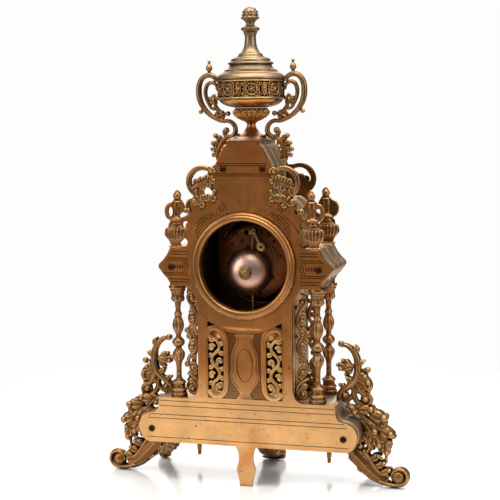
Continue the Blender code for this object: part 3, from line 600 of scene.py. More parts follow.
def cast(name, pieces, material, slot, voxel=0.6, soften=2, body="case"):
    """Fuse overlapping parts into one casting skin, ease it, and hang it on the case."""
    piece = joined(name, pieces)
    piece.data.remesh_voxel_size = voxel * MM
    choose(piece)
    bpy.ops.object.voxel_remesh()
    if soften:
        add_modifier(piece, "SMOOTH", factor=0.5, iterations=soften)
    for face in piece.data.polygons:
        face.use_smooth = True
    piece.data.materials.clear()
    piece.data.materials.append(material)
    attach(piece, body)
    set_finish(piece, slot)
    return piece


def mirrored_copy(piece, name, nodes=()):
    """The casting for the other side: a copy turned over, with its faces put right again."""
    choose(piece)
    bpy.ops.object.duplicate()
    other = bpy.context.object
    other.name = name
    for vertex in other.data.vertices:
        vertex.co.x = -vertex.co.x
    bpy.ops.object.mode_set(mode="EDIT")
    bpy.ops.mesh.select_all(action="SELECT")
    bpy.ops.mesh.flip_normals()
    bpy.ops.object.mode_set(mode="OBJECT")
    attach(other, piece["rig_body"])
    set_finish(other, piece["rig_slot"])
    if nodes:
        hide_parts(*nodes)
    return other


hook = [(36.2, 163.6), (40.0, 165.0), (41.4, 169.5), (38.2, 173.4), (32.0, 173.6), (25.6, 170.6),
        (21.8, 163.6), (21.3, 150), (21.3, 130), (21.5, 113), (24.2, 102.8), (31.0, 98.4),
        (37.6, 100.6), (40.6, 105.6)]
OVAL_WIDE, OVAL_HIGH, OVAL_Z = 8.8, 18, 134
HATCH_PITCH = 2.5
straps = []
for side in (1, -1):
    straps.append(strap([(side * x, z) for x, z in hook], 5.6, BACK_Y - STRAP_DEPTH, BACK_Y))
half_cartouche = [(10.4, 96.4), (7.4, 99.4), (5.8, 103.0), (9.0, 108.0), (14.0, 114.4),
                  (17.4, 121.4), (15.4, 129.0), (15.4, 143.0), (12.4, 153.0), (9.2, 160.0),
                  (10.0, 165.0), (11.0, 168.2)]
cartouche = filled(half_cartouche + across_middle(half_cartouche)[::-1], BACK_Y - STRAP_DEPTH,
                   BACK_Y)
add_modifier(cartouche, "BEVEL", **plate_edge)
oval = [(OVAL_WIDE * math.cos(a * math.tau / 20), OVAL_Z + OVAL_HIGH * math.sin(a * math.tau / 20))
        for a in range(21)]
lines = [curve_cut(oval, BACK_Y, 0.7)]
inner = [(x - 2.2, z) for x, z in half_cartouche[3:-1]]
lines += [curve_cut(inner, BACK_Y, 0.6), curve_cut(across_middle(inner), BACK_Y, 0.6)]
cut_away(cartouche, lines)
hatching = [block((-21.0, BACK_Y - 1.6, 98.0 + HATCH_PITCH * row),
                  (21.0, BACK_Y - 0.85, 99.1 + HATCH_PITCH * row)) for row in range(28)]
ground = joined("hatching", hatching)
panel = joined("panel_strap_work", straps + [cartouche])
smooth_shaded(panel, 25)
panel.data.materials.append(orange_brass)
ground.name = "panel_hatching"
ground.data.materials.append(orange_brass)
for piece in (panel, ground):
    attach(piece, "case")
    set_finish(piece, "orange_brass")

LEAF_Y = BACK_Y - 1.9
leaf_work = [strand([(33, 101), (36.5, 106), (36, 113), (31, 118), (29, 124), (32, 130), (37, 135),
                      (37.4, 142), (33, 147), (29.4, 152), (31.5, 159), (36.5, 163)],
                    [1.8, 2.1, 1.7], LEAF_Y, 0.8)]
for centre, start, turns in (((29.4, 109), -60, 1.0), ((38.0, 121), 150, -1.0),
                             ((28.6, 137), -60, 1.0), ((38.0, 152), 160, -1.0)):
    leaf_work += volute(centre, 4.2, start, turns, 1.5, LEAF_Y, 0.8)
leaf_work += leaves(LEAF_Y, 2.6, 1.0, (
    ((35, 112), (42.4, 113), 6.2), ((30, 120), (23.4, 117), 6.2), ((30, 127), (23.4, 130), 6.0),
    ((35, 132), (42.4, 129), 6.2), ((36, 141), (42.6, 145), 6.2), ((31, 147), (23.6, 145), 6.2),
    ((30, 154), (23.8, 159), 6.2), ((34, 160), (42.2, 161), 5.8), ((33, 104), (26, 100), 6.2),
    ((35, 105), (42.4, 102), 5.4), ((34, 124), (41.0, 124.4), 4.6), ((31, 113), (24.4, 111), 4.8),
    ((33, 139), (26.4, 139.6), 4.6), ((32, 163), (27.0, 167.4), 5.6),
    ((36, 153), (42.6, 154.4), 4.6)))
leaf_right = cast("panel_leaf_right", leaf_work, golden_brass, "orange_brass", 0.45, 1)
mirrored_copy(leaf_right, "panel_leaf_left")

# ---------------------------------------------------------------- rear ring
# A turned brass ring screwed over the opening. Old soft solder has run round its lower edge.
def turned(name, profile, centre, along_y=False, steps=64):
    """A lathe shape: a profile of (radius, height) points spun round. A third value in a
    point keeps a sharp corner there."""
    line, shape, spline = new_curve("BEZIER", len(profile))
    for point, values in zip(spline.bezier_points, profile):
        point.co = (values[0] * MM, 0, values[1] * MM)
        kind = "VECTOR" if len(values) > 2 else "AUTO"
        point.handle_left_type = kind
        point.handle_right_type = kind
    shape.dimensions = "3D"
    shape.resolution_u = 4
    piece = as_mesh(line)
    for vertex in piece.data.vertices:
        vertex.co.x = max(vertex.co.x, 0)
    bpy.ops.object.mode_set(mode="EDIT")
    bpy.ops.mesh.select_all(action="SELECT")
    bpy.ops.mesh.spin(steps=steps, angle=math.tau, center=(0, 0, 0), axis=(0, 0, 1))
    bpy.ops.mesh.select_all(action="SELECT")
    bpy.ops.mesh.remove_doubles(threshold=0.00003)
    bpy.ops.mesh.normals_make_consistent(inside=False)
    bpy.ops.object.mode_set(mode="OBJECT")
    if along_y:
        piece.rotation_euler = (-math.pi / 2, 0, 0)
    piece.location = [value * MM for value in centre]
    settle(piece)
    piece.name = name
    return smooth_shaded(piece, 28)


def finish(piece, material, slot, body="case", nodes=()):
    piece.data.materials.clear()
    piece.data.materials.append(material)
    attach(piece, body)
    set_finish(piece, slot)
    if nodes:
        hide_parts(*nodes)
    return piece


RING_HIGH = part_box("rear_ring")[1] / MM
ring_out = RING_HIGH.x
ring_in = ring_out - 8.9
top = RING_HIGH.y
profile = [(ring_in, top - 10.8, 0), (ring_in, top - 2.4, 0), (ring_in + 1.0, top - 0.9),
           (ring_in + 3.2, top, 0), (ring_out - 4.4, top, 0), (ring_out - 3.2, top - 0.9, 0),
           (ring_out - 2.4, top - 1.0), (ring_out - 0.8, top - 1.8),
           (ring_out - 0.3, top - 2.8, 0), (ring_out, top - 3.2, 0), (ring_out, top - 5.2, 0),
           (ring_in + 1.4, top - 5.2, 0), (ring_in + 1.4, top - 10.8, 0),
           (ring_in, top - 10.8, 0)]
rear_ring = turned("turned_rear_ring", profile, (0, 0, DIAL_Z), True, 96)
ring_brass = aged_brass_painted_light("ring_brass", (0.50, 0.235, 0.080), (0.80, 0.55, 0.27), (0.10, 0.05, 0.02),
                         (0.30, 0.44))
finish(rear_ring, ring_brass, "yellow_brass", nodes=("rear_ring",))
SOLDER_BLOBS = 46
solder = []
for step in range(SOLDER_BLOBS):
    angle = math.radians(197 + 146 * step / (SOLDER_BLOBS - 1))
    radius = 0.9 + 0.55 * math.sin(step * 2.3) * math.sin(step * 0.7)
    solder.append(bead((ring_out - 0.6) * math.cos(angle),
                       DIAL_Z + (ring_out - 0.6) * math.sin(angle), max(radius, 0.5), top - 2.6,
                       0.9))
solder_grey = aged_brass_painted_light("soft_solder", (0.40, 0.37, 0.30), (0.62, 0.60, 0.52), (0.14, 0.11, 0.07),
                          (0.35, 0.5))
cast("ring_solder", solder, solder_grey, "yellow_brass", 0.5, 2)

# ---------------------------------------------------------------- crown scrolls and wing vases
# The carved relief of the plates: an open C scroll with an acanthus leaf beside the crown, and
# a gadrooned vase with one handle over each wing. Front and back are alike, but the front vases
# are rounded on both faces.
FRONT_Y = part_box("front_plate")[0].y / MM
old_brass = aged_brass_painted_light("old_cast_brass", (0.30, 0.142, 0.052), (0.92, 0.60, 0.26),
                       (0.022, 0.012, 0.006), (0.26, 0.46), shade_reach=0.007, grain=0.45, rubbed_and_highlit=True,
                       shade_ramp_stops=(0.42, 0.93))


def lobe(root, tip, width, plane_y, depth=3.0, lean=0.0):
    """A leaf lobe whose tip curls over into a small knob."""
    return [petal(root, tip, width, plane_y, depth, lean),
            bead(tip[0], tip[1], width * 0.27, plane_y + lean * 0.8, 1.2)]


def doubled_lobes(spread, depth, swell, table):
    """Curled lobes in two layers either side of SIDE_Y, from (root, tip, width, lean)."""
    made = []
    for root, tip, width, lean in table:
        for offset in (-spread, spread):
            made += lobe(root, tip, width * swell, SIDE_Y + offset, depth,
                         lean if offset > 0 else -lean)
    return made


def crown_relief(y, side):
    """An open C scroll with leaves along it, on the face that looks towards side."""
    out = 0.9 * side
    face = y + out
    parts = [strand(ring_points((45, 332.2), 15.7, -62, 114, 13), [1.9, 2.8, 3.3, 3.0, 2.4],
                    face - out * 0.6, 0.8)]
    parts += volute((54.8, 312.6), 5.4, 120, 0.9, 1.9, face, 0.8)
    parts += volute((35.0, 344.2), 4.2, 200, -0.8, 1.6, face, 0.8)
    parts += volute((64.6, 302.6), 3.6, 160, 0.8, 1.4, face, 0.8)
    parts.append(strand([(56.5, 325), (50, 329.5), (43, 332), (36.6, 335), (33.5, 339.5)],
                        [2.3, 2.4, 1.8, 1.4], face, 0.7))
    parts += leaves(face, 3.4, 1.4, (
        ((50, 329), (53.6, 336.4), 6.4), ((45, 331), (47.0, 339.0), 6.4),
        ((40, 333), (39.6, 341.0), 6.0), ((43, 331), (46.6, 323.6), 6.4),
        ((37, 334), (38.0, 326.0), 5.6), ((36, 335), (30.4, 332.6), 5.4),
        ((52, 327), (55.4, 320.4), 5.2)))
    parts.append(strand([(52, 309), (46, 313.6), (40, 313.8), (33.6, 318), (31.0, 324.4)],
                        [2.0, 2.4, 2.0, 1.6], face, 0.7))
    parts += leaves(face, 3.0, 1.4, (((44, 313), (45.8, 319.6), 5.6),
                                     ((39, 314), (38.0, 320.4), 5.2),
                                     ((36, 316), (29.6, 313.6), 5.2),
                                     ((48, 311), (44.0, 305.6), 5.2)))
    return parts


VASE_X = 77.3
VASE_NECK = 287


def vase_relief(y, side):
    """A half-round vase with gadroons, a handle and a tendril, on one face of a plate."""
    face = y - 1.6 * side
    parts = []
    silhouette = [(0.4, 324.6), (2.6, 321.4), (4.5, 317.8), (3.4, 314.6), (2.2, 312.8),
                  (4.8, 311.6), (4.4, 309.8), (4.6, 306.4), (4.3, 302.2), (3.9, 298.0),
                  (4.2, 295.2), (6.8, 293.6), (7.4, 291.6), (4.8, 289.4), (5.4, 287.2),
                  (7.8, 284.6), (11.0, 281.2), (11.9, 277.6), (11.4, 273.6), (8.6, 269.4),
                  (5.6, 266.4), (4.8, 263.6), (7.6, 261.6), (0.4, 261.2)]
    body = turned("vase_form", silhouette, (0, 0, 0), steps=24)
    for vertex in body.data.vertices:
        level = vertex.co.z / MM
        lean = VASE_X - 2.7 * max(0, (level - 270) / 54)
        vertex.co.x += lean * MM
        vertex.co.y = vertex.co.y * (0.36 if level < VASE_NECK else 0.84) + face * MM
    parts.append(body)
    for step in range(7):
        x = VASE_X + (step - 3) * 3.35
        bow = (step - 3) * 0.9
        parts.append(strand([(x - bow, 269.8), (x, 275), (x + bow * 0.3, 281.4)], [0.8, 1.25, 0.9],
                            face + side * (3.7 - 0.22 * (step - 3) ** 2), 0.9))
    handle = [(80.4, 291.6), (85.6, 293.6), (87.9, 299.6), (86.8, 305.6), (82.6, 308.8),
              (78.6, 308.4)]
    parts.append(strand(handle, [1.4, 1.7, 1.7, 1.4], face, 0.9))
    parts.append(strand([(74, 290.4), (69, 292.6), (63.6, 295.6), (60.6, 298.4)], [1.7, 1.4, 1.6],
                        face, 0.9))
    for level, half in ((290.0, 6.0), (282.0, 10.6), (262.6, 7.6)):
        parts.append(strand([(77 - half, level), (77, level), (77 + half, level)], 0.9,
                            face + side * 1.4, 1.6))
    return parts


for y, side, name in ((BACK_Y, 1, "back"), (FRONT_Y, -1, "front")):
    relief = cast("crown_relief_%s_right" % name, crown_relief(y, side), old_brass, "orange_brass",
                   0.55, 1)
    mirrored_copy(relief, "crown_relief_%s_left" % name)
    vase = vase_relief(y, side)
    if side < 0:
        vase += vase_relief(y + 3.2, 1)
    relief = cast("wing_vase_%s_right" % name, vase, old_brass, "orange_brass", 0.55, 1)
    mirrored_copy(relief, "wing_vase_%s_left" % name)

# ---------------------------------------------------------------- columns and brackets
# Turned brass columns with chased leaf wraps stand between the base and the wings, and leafy
# S scrolls are cast between each column and the body's side.
def fluted(piece, centre, low, high, count, depth):
    """Press lobes round a lathe shape between two heights."""
    for vertex in piece.data.vertices:
        x = vertex.co.x / MM - centre[0]
        y = vertex.co.y / MM - centre[1]
        z = vertex.co.z / MM
        if low < z < high:
            ease = math.sin(math.pi * (z - low) / (high - low)) ** 0.5
            angle = math.atan2(y, x)
            flute = abs(math.sin(count * angle / 2))
            grow = 1 + depth * ease * (flute - 0.6)
            vertex.co.x = (centre[0] + x * grow) * MM
            vertex.co.y = (centre[1] + y * grow) * MM
    return piece


COLUMN_LOW, COLUMN_HIGH = (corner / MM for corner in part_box("column_back_right"))
COLUMN_X = (COLUMN_LOW.x + COLUMN_HIGH.x) / 2
column_line = [(0, 218.7, 0), (9.6, 218.7, 0), (9.9, 216.2, 0), (8.8, 214.6), (8.6, 212.6, 0),
               (7.4, 211.6, 0), (6.6, 207.0), (7.2, 204.4), (7.4, 203.0, 0), (6.2, 200.8),
               (3.6, 199.6, 0), (3.2, 196), (2.9, 190), (4.4, 186.4), (3.6, 184.0), (5.4, 178),
               (5.9, 173), (4.6, 167.4), (2.8, 163.0), (3.2, 160.6, 0), (6.0, 158.0), (7.0, 155.2),
                (6.0, 152.2), (3.2, 149.8, 0), (3.6, 147.6), (5.8, 144.6), (6.5, 141.2),
               (5.6, 136.6), (3.7, 132.6), (3.0, 128.0), (3.0, 120.0), (3.7, 114.4),
               (5.4, 113.0, 0), (7.4, 111.4), (7.6, 109.6, 0), (6.6, 108.0), (7.0, 104.4, 0),
               (8.6, 103.4), (8.4, 101.0, 0), (7.6, 99.8), (9.2, 98.6, 0), (9.2, 95.0, 0),
               (0, 95.0, 0)]
for face in ("back", "front"):
    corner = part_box("column_%s_right" % face)
    y = (corner[0].y + corner[1].y) / 2 / MM
    outward = 1 if face == "back" else -1
    column = turned("column_form", column_line, (COLUMN_X, y, 0), steps=48)
    fluted(column, (COLUMN_X, y), 166, 186, 8, 0.22)
    fluted(column, (COLUMN_X, y), 134, 149, 8, 0.18)
    fluted(column, (COLUMN_X, y), 201, 211, 10, 0.14)
    parts = [column]
    for turn in range(6):
        angle = math.radians(60 * turn + 30)
        wrap = petal((COLUMN_X, 168), (COLUMN_X, 182), 5.0, 0, 2.2, 1.2)
        spin = Matrix.Translation((COLUMN_X * MM, y * MM, 0)) @ Matrix.Rotation(angle, 4, "Z")
        wrap.data.transform(spin @ Matrix.Translation((-COLUMN_X * MM, -5.0 * MM, 0)))
        parts.append(wrap)
    parts.append(bead(COLUMN_X, 142.5, 2.6, y + outward * 6.0, 0.7))
    column = cast("turned_column_%s_right" % face, parts, old_brass, "dark_brass", 0.5, 1)
    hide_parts("column_%s_right" % face)
    mirrored_copy(column, "turned_column_%s_left" % face, nodes=("column_%s_left" % face,))

    parts = [strand([(60.4, 213), (66.6, 209), (66.0, 201), (61.0, 195), (57.0, 186), (57.6, 177),
                     (62.6, 171.6), (66.6, 173.8)], [1.3, 2.0, 2.2, 2.3, 2.0, 1.5], y, 1.0)]
    parts.append(strand([(66.8, 167), (60.6, 163.4), (57.0, 155), (59.6, 146), (66.0, 139.6),
                         (67.6, 132), (62.0, 127.4), (58.0, 130.6)],
                        [1.4, 2.0, 2.3, 2.2, 1.8, 1.4], y, 1.0))
    parts += volute((62.6, 204.4), 4.6, 40, -1.2, 1.5, y)
    parts += volute((62.4, 172.6), 4.6, 200, 1.2, 1.5, y)
    parts += volute((62.6, 127.2), 5.8, 30, 1.4, 1.7, y)
    parts += volute((62.8, 103.4), 6.4, 100, 1.4, 1.9, y)
    parts.append(strand([(69.0, 121), (62, 117), (56.6, 112), (56.2, 103), (60, 96.6)],
                        [1.5, 2.2, 2.3, 2.0], y, 1.0))
    parts += leaves(y, 4.8, 1.35, (
        ((58, 190), (66.6, 189.4), 6.0), ((58, 184), (65.4, 180.6), 5.6),
        ((60, 196), (54.6, 199), 4.6), ((63, 166), (68.8, 159.6), 6.0),
        ((58, 158), (66.6, 154.0), 6.4), ((59, 150), (67.2, 147), 6.0),
        ((60, 164), (54.8, 168), 5.0), ((64, 141), (58.4, 138), 5.4),
        ((66, 134), (71.6, 128.4), 5.4), ((64, 125), (57.0, 119.4), 5.6),
        ((60, 113), (68.2, 111.6), 5.8), ((57, 107), (53.8, 116), 4.4),
        ((66, 172), (71.0, 166.4), 4.8)))
    bracket = cast("scroll_bracket_%s_right" % face, parts, old_brass, "dark_brass", 0.55, 1)
    mirrored_copy(bracket, "scroll_bracket_%s_left" % face)

# ---------------------------------------------------------------- side scrolls
# An open acanthus scroll stands on each end of the base, between the two columns' planes.
SIDE_Y = (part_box("side_scroll_right")[0].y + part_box("side_scroll_right")[1].y) / 2 / MM
parts = [strand([(98.6, 153.6), (103, 154.6), (109.4, 151.2), (114.6, 144.4), (117.0, 135),
                 (116.8, 125), (113.6, 115.4), (107.4, 109), (100.6, 104.0), (96.6, 97.0),
                 (99, 91.4)], [2.2, 3.0, 3.8, 4.3, 4.2, 3.6, 3.0], SIDE_Y, 1.3),
         bead(99.0, 155.6, 3.6, SIDE_Y), bead(128.2, 127.8, 3.6, SIDE_Y),
         strand([(117, 122), (121.4, 127.4), (127.0, 128.0)], [2.2, 1.6, 1.5], SIDE_Y, 1.3)]
for offset in (-3.6, 3.6):
    parts.append(strand([(103, 156.2), (111, 152), (116.8, 144.6), (119.6, 134.6), (118.8, 123)],
                        [0.6, 1.1, 1.3, 1.1], SIDE_Y + offset, 1.0))
parts += doubled_lobes(2.0, 6.0, 1.0, (
    ((114, 132), (98.6, 128.6), 9.6, 1.6), ((110, 133), (101.0, 137.4), 8.4, -1.6),
    ((111, 129), (104.6, 122.4), 8.0, -1.0), ((105, 131), (95.4, 132.6), 7.0, 1.0),
    ((116, 119), (129.4, 114.6), 11.0, 2.4), ((116, 114), (129.6, 106.0), 11.0, -2.4),
    ((117, 123), (126.0, 121.4), 9.0, 1.6), ((115, 109), (121.0, 102.4), 9.0, -1.6),
    ((112, 113), (106.0, 119.0), 8.0, 1.6), ((105, 107), (97.6, 110.6), 7.4, -1.0),
    ((118, 146), (114.6, 153.6), 6.6, 1.6), ((118, 134), (124.0, 137.4), 6.6, 1.0)))
for curl, thick in (([(115, 124), (122, 121), (129, 115), (130, 108), (125, 107)],
                     [3.2, 4.4, 3.8, 2.6]), ([(115, 118), (119, 108), (124, 102), (131, 101)],
                                             [3.4, 4.4, 3.6, 2.4])):
    parts.append(strand(curl, thick, SIDE_Y, 1.15, sides=3))
parts += volute((126.0, 95.4), 7.0, -110, 1.2, 2.9, SIDE_Y, 1.4)
parts.append(strand([(113, 104), (114.0, 97), (119, 90.6), (126, 88.2)], [3.2, 3.4, 3.0], SIDE_Y,
                    1.3))
parts += volute((103.0, 99.4), 6.2, 60, 1.2, 2.5, SIDE_Y, 1.4)
parts.append(strand([(112, 110), (112.4, 101), (108, 95.4), (102, 92.6)], [2.9, 3.0, 2.5], SIDE_Y,
                    1.3))
side_scroll = cast("side_scroll_casting_right", parts, old_brass, "dark_brass", 0.6, 1)
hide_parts("side_scroll_right")
mirrored_copy(side_scroll, "side_scroll_casting_left", nodes=("side_scroll_left",))

# ---------------------------------------------------------------- side feet
# A heavy scroll foot runs out from each end of the base, with a fall of leaves over it.
parts = [strand([(150.4, 6.9), (143.6, 9.2), (135.4, 14.6), (126.4, 23.6), (117.6, 33.0),
                 (109.8, 42.4)], [6.2, 7.2, 8.8, 10.0, 10.2, 7.6], SIDE_Y, 0.90, sides=3)]
parts.append(strand([(141.6, 7.4), (152.0, 3.9), (162, 3.5), (170.2, 7.4), (171.6, 15.2),
                     (165.6, 20.6), (158.0, 18.6), (155.0, 12.6), (158.6, 8.0)],
                    [3.2, 3.2, 2.9, 2.7, 2.6, 2.4, 2.0], SIDE_Y, 2.4, sides=3))
parts.append(bead(162.0, 11.8, 8.4, SIDE_Y, 0.96))
for offset in (-5.4, 0, 5.4):
    parts.append(strand([(152, 13.4), (143.6, 16.0), (137.0, 22.0), (131, 31.0), (124.4, 40.4)],
                        [1.2, 1.7, 2.0, 1.8], SIDE_Y + offset, 1.0))
for root, tip, width in (
        ((142, 15), (152.6, 19.4), 9.0), ((136, 22), (147.0, 26.6), 9.6),
        ((131, 30), (141.6, 34.6), 9.6), ((118, 28), (109.6, 30.4), 8.6),
        ((127, 18), (119.0, 18.8), 8.0)):
    for offset in (-4.0, 4.0):
        parts += lobe(root, tip, width, SIDE_Y + offset, 7.0, 1.4 if offset > 0 else -1.4)
parts += doubled_lobes(3.6, 8.5, 1.15, (
    ((130, 79), (147.0, 76.6), 13.6, 2.0), ((130, 74), (145.6, 67.6), 13.0, -2.4),
    ((126, 72), (137.0, 61.4), 12.6, 2.4), ((118, 84), (132.6, 85.6), 11.6, 1.6),
    ((120, 74), (126.6, 61.0), 12.0, -2.0), ((141, 63), (154.4, 58.8), 12.6, 2.0),
    ((140, 58), (151.6, 50.4), 12.0, -2.0), ((136, 56), (141.6, 46.0), 11.6, 2.0),
    ((130, 58), (129.0, 47.6), 11.0, -1.6), ((147, 50), (150.0, 38.6), 11.4, 1.6),
    ((145, 49), (142.6, 40.4), 9.0, -1.6), ((106, 88), (114.6, 80.6), 10.6, 1.0),
    ((112, 72), (119.0, 63.0), 11.0, 1.6), ((119, 58), (127.6, 50.0), 11.0, -1.6),
    ((112, 54), (121.0, 44.6), 10.6, 1.6)))
for curl, thick in (([(112, 86), (124, 87), (136, 82), (145, 75), (146, 68), (140, 67)],
                     [3.0, 5.0, 4.6, 3.0]), ([(122, 76), (132, 70), (143, 65), (153, 62),
                                              (157, 56)], [4.0, 5.4, 4.4, 2.4]),
                    ([(120, 72), (129, 62), (139, 56), (149, 53), (153, 47)],
                     [4.0, 5.6, 4.6, 2.4]), ([(116, 66), (124, 56), (132, 48), (134, 40)],
                                             [4.0, 5.4, 4.4, 3.0])):
    parts.append(strand(curl, thick, SIDE_Y, 1.35, sides=3))
parts += [bead(140.6, 68.6, 3.6, SIDE_Y, 1.5), bead(157.0, 56.6, 3.4, SIDE_Y, 1.5),
          bead(153.0, 47.4, 3.2, SIDE_Y, 1.5)]
parts.append(strand([(148.6, 40), (148.4, 31.6), (145.8, 26.4), (141.4, 23.6)], [2.4, 1.7, 0.8],
                    SIDE_Y, 1.0))
parts.append(strand([(104, 88.6), (118, 82), (128, 72), (135, 62), (143, 54), (148, 46)],
                    [2.2, 3.6, 3.6, 3.0, 2.6], SIDE_Y, 1.8))
parts.append(strand([(124.6, 66), (130, 54), (130, 42), (122, 34)], [3.4, 3.4, 4.0], SIDE_Y, 1.9))
side_foot = cast("side_foot_casting_right", parts, old_brass, "dark_brass", 0.65, 1)
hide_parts("side_foot_right")
mirrored_copy(side_foot, "side_foot_casting_left", nodes=("side_foot_left",))

# ---------------------------------------------------------------- front plate
# The front casting has the same outline and carving as the rear one, and its lower panel is
# closed by a cast fall of leaves round an oval boss.
front_brass = aged_brass_painted_light("front_brass_cast", (0.54, 0.27, 0.095), (0.82, 0.58, 0.28),
                         (0.07, 0.034, 0.014), floor=(FRONT_Y + 0.95, FRONT_Y + 0.15))
front_plate = merged_copy("front_plate", "engraved_front_plate")
add_modifier(front_plate, "BEVEL", **plate_edge)
cutters = graver_lines(FRONT_Y)
panel_field = [(-38.0, 99.0), (38.0, 99.0), (38.0, 176.0)]
panel_field += ring_points((0, DIAL_Z), 66.0, -62, -118, 13) + [(-38.0, 176.0)]
cutters.append(filled(panel_field, FRONT_Y - 1, FRONT_Y + 1.2))
cut_away(front_plate, cutters)
smooth_shaded(front_plate, 14)
finish(front_plate, front_brass, "orange_brass", nodes=("front_plate",))
RELIEF_Y = FRONT_Y + 0.2
half = [strand([(38.6, 100), (38.6, 168), (30.0, 183.0)], 1.5, RELIEF_Y, 0.9)]
half.append(strand([(4, 104), (14, 101), (24, 105), (30, 114), (27, 124), (19, 126), (17, 119),
                    (21.6, 115)], [2.0, 2.4, 2.5, 2.3, 2.0, 1.5], RELIEF_Y, 0.9))
half.append(strand([(17, 126), (24, 134), (31, 143), (31, 154), (24, 160), (17, 156), (19, 149)],
                   [1.8, 2.4, 2.4, 2.2, 1.8, 1.4], RELIEF_Y, 0.9))
half.append(strand([(23, 161), (15, 168), (6, 170), (0, 166)], [1.8, 2.3, 2.2, 1.9], RELIEF_Y,
                   0.9))
half += volute((20.6, 118.6), 5.0, 60, 1.0, 1.5, RELIEF_Y) + volute((21, 153), 5.0, 200, -1.0, 1.5,
                                                                     RELIEF_Y)
half += leaves(FRONT_Y + 0.4, 4.0, 1.0, (
    ((28, 112), (35.6, 106), 6.6), ((30, 120), (36.4, 126), 6.6), ((22, 128), (15.4, 135), 6.4),
    ((27, 136), (34.6, 135), 6.4), ((30, 148), (36.2, 154), 6.4), ((25, 160), (31.6, 166), 6.4),
    ((14, 103), (11.0, 112), 6.0), ((8, 104), (4.4, 114), 6.0), ((14, 168), (13.0, 160), 6.0),
    ((20, 165), (22.6, 173), 6.0)))
right_half = cast("front_panel_relief_right", half, golden_brass, "orange_brass", 0.5, 1)
mirrored_copy(right_half, "front_panel_relief_left")
boss = [bead(0, 139, 9.0, FRONT_Y + 0.4, 0.3)]
boss[0].data.transform(Matrix.Translation((0, 0, 139 * MM)) @ Matrix.Diagonal((1, 1, 1.7, 1)) @
                       Matrix.Translation((0, 0, -139 * MM)))
rim = [(11.4 * math.cos(a * math.tau / 24),
        139 + 18.0 * math.sin(a * math.tau / 24)) for a in range(25)]
boss.append(strand(rim, 1.3, RELIEF_Y, 1.0))
for turn in range(10):
    angle = math.tau * turn / 10
    boss.append(petal((11 * math.cos(angle), 139 + 18 * math.sin(angle)),
                      (15.4 * math.cos(angle), 139 + 23.4 * math.sin(angle)), 5.0, FRONT_Y + 0.4,
                      3.0))
cast("front_panel_boss", boss, golden_brass, "orange_brass", 0.5, 1)

# ---------------------------------------------------------------- sides and roofs
# The ends of the case are plain castings, with mouldings that follow both plates. Apart from
# the body's sides their brass is painted pale and greyish: a painted sheen for the white light
# that these side and top faces reflect.
painted_sheen_brass = aged_brass_painted_light("painted_sheen_brass", (0.58, 0.425, 0.255), (0.86, 0.70, 0.47),
                        (0.12, 0.075, 0.04), (0.36, 0.54), shade_reach=0.006)
# Near-black painted shade for sheets, a drum and a ring put where the inside is only in shade.
painted_shade_black = aged_brass_painted_light("painted_shade_black", (0.045, 0.028, 0.018), (0.1, 0.06, 0.03),
                         (0.01, 0.008, 0.006), (0.5, 0.7))


def rib(node_name, low_y, high_y, swell):
    """A moulding that follows a side casting: its shape between two heights, made thicker."""
    piece = merged_copy(node_name, "rib")
    middle = sum(vertex.co.y for vertex in piece.data.vertices) / len(piece.data.vertices)
    for vertex in piece.data.vertices:
        vertex.co.y = (low_y if vertex.co.y < middle else high_y) * MM
    add_modifier(piece, "DISPLACE", strength=swell * MM, mid_level=0.0)
    add_modifier(piece, "BEVEL", width=0.0005, segments=2, limit_method="ANGLE",
                 angle_limit=math.radians(40))
    return piece


def eased_copy(node_name, name, width, segments=2, angle=40, smooth=34):
    """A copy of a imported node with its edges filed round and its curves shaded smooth."""
    piece = merged_copy(node_name, name)
    add_modifier(piece, "BEVEL", width=width, segments=segments, limit_method="ANGLE",
                 angle_limit=math.radians(angle))
    return smooth_shaded(piece, smooth)


for node_name in ("base_side", "body_side", "wing_side", "roof"):
    for side in ("right", "left"):
        source = "%s_%s" % (node_name, side)
        shell = merged_copy(source, "shell")
        ribs = [rib(source, low, high, swell) for low, high, swell in ((50.6, 53.6, 0.9),
                                                                       (46.2, 48.4, 0.6),
                                                                       (-5.0, -2.0, 0.9),
                                                                       (0.4, 2.6, 0.6),
                                                                       (20.4, 28.4, 0.5))]
        side_piece = joined("moulded_" + source, ribs + [shell])
        smooth_shaded(side_piece, 34)
        # The body's sides keep the old brass; the other side and top castings take the painted
        # sheen.
        brass = old_brass if node_name == "body_side" else painted_sheen_brass
        finish(side_piece, brass, "orange_brass", nodes=(source,))
# The base shelf and cap take the same painted sheen.
for node_name, name in (("base_top", "base_shelf"), ("cap", "moulded_cap")):
    piece = eased_copy(node_name, name, 0.0007, 3)
    finish(piece, painted_sheen_brass, "orange_brass", nodes=(node_name,))
# Thin near-black sheets inside the body walls are painted shade that keeps the inside of the case
# dark.
for side in (1, -1):
    shade_sheet = block((side * 49.9 - 0.2, -6.5, 100.0), (side * 49.9 + 0.2, 55.0, 292.0))
    shade_sheet.name = "painted_shade_sheet_%s" % ("right" if side > 0 else "left")
    finish(shade_sheet, painted_shade_black, "dark_brass")

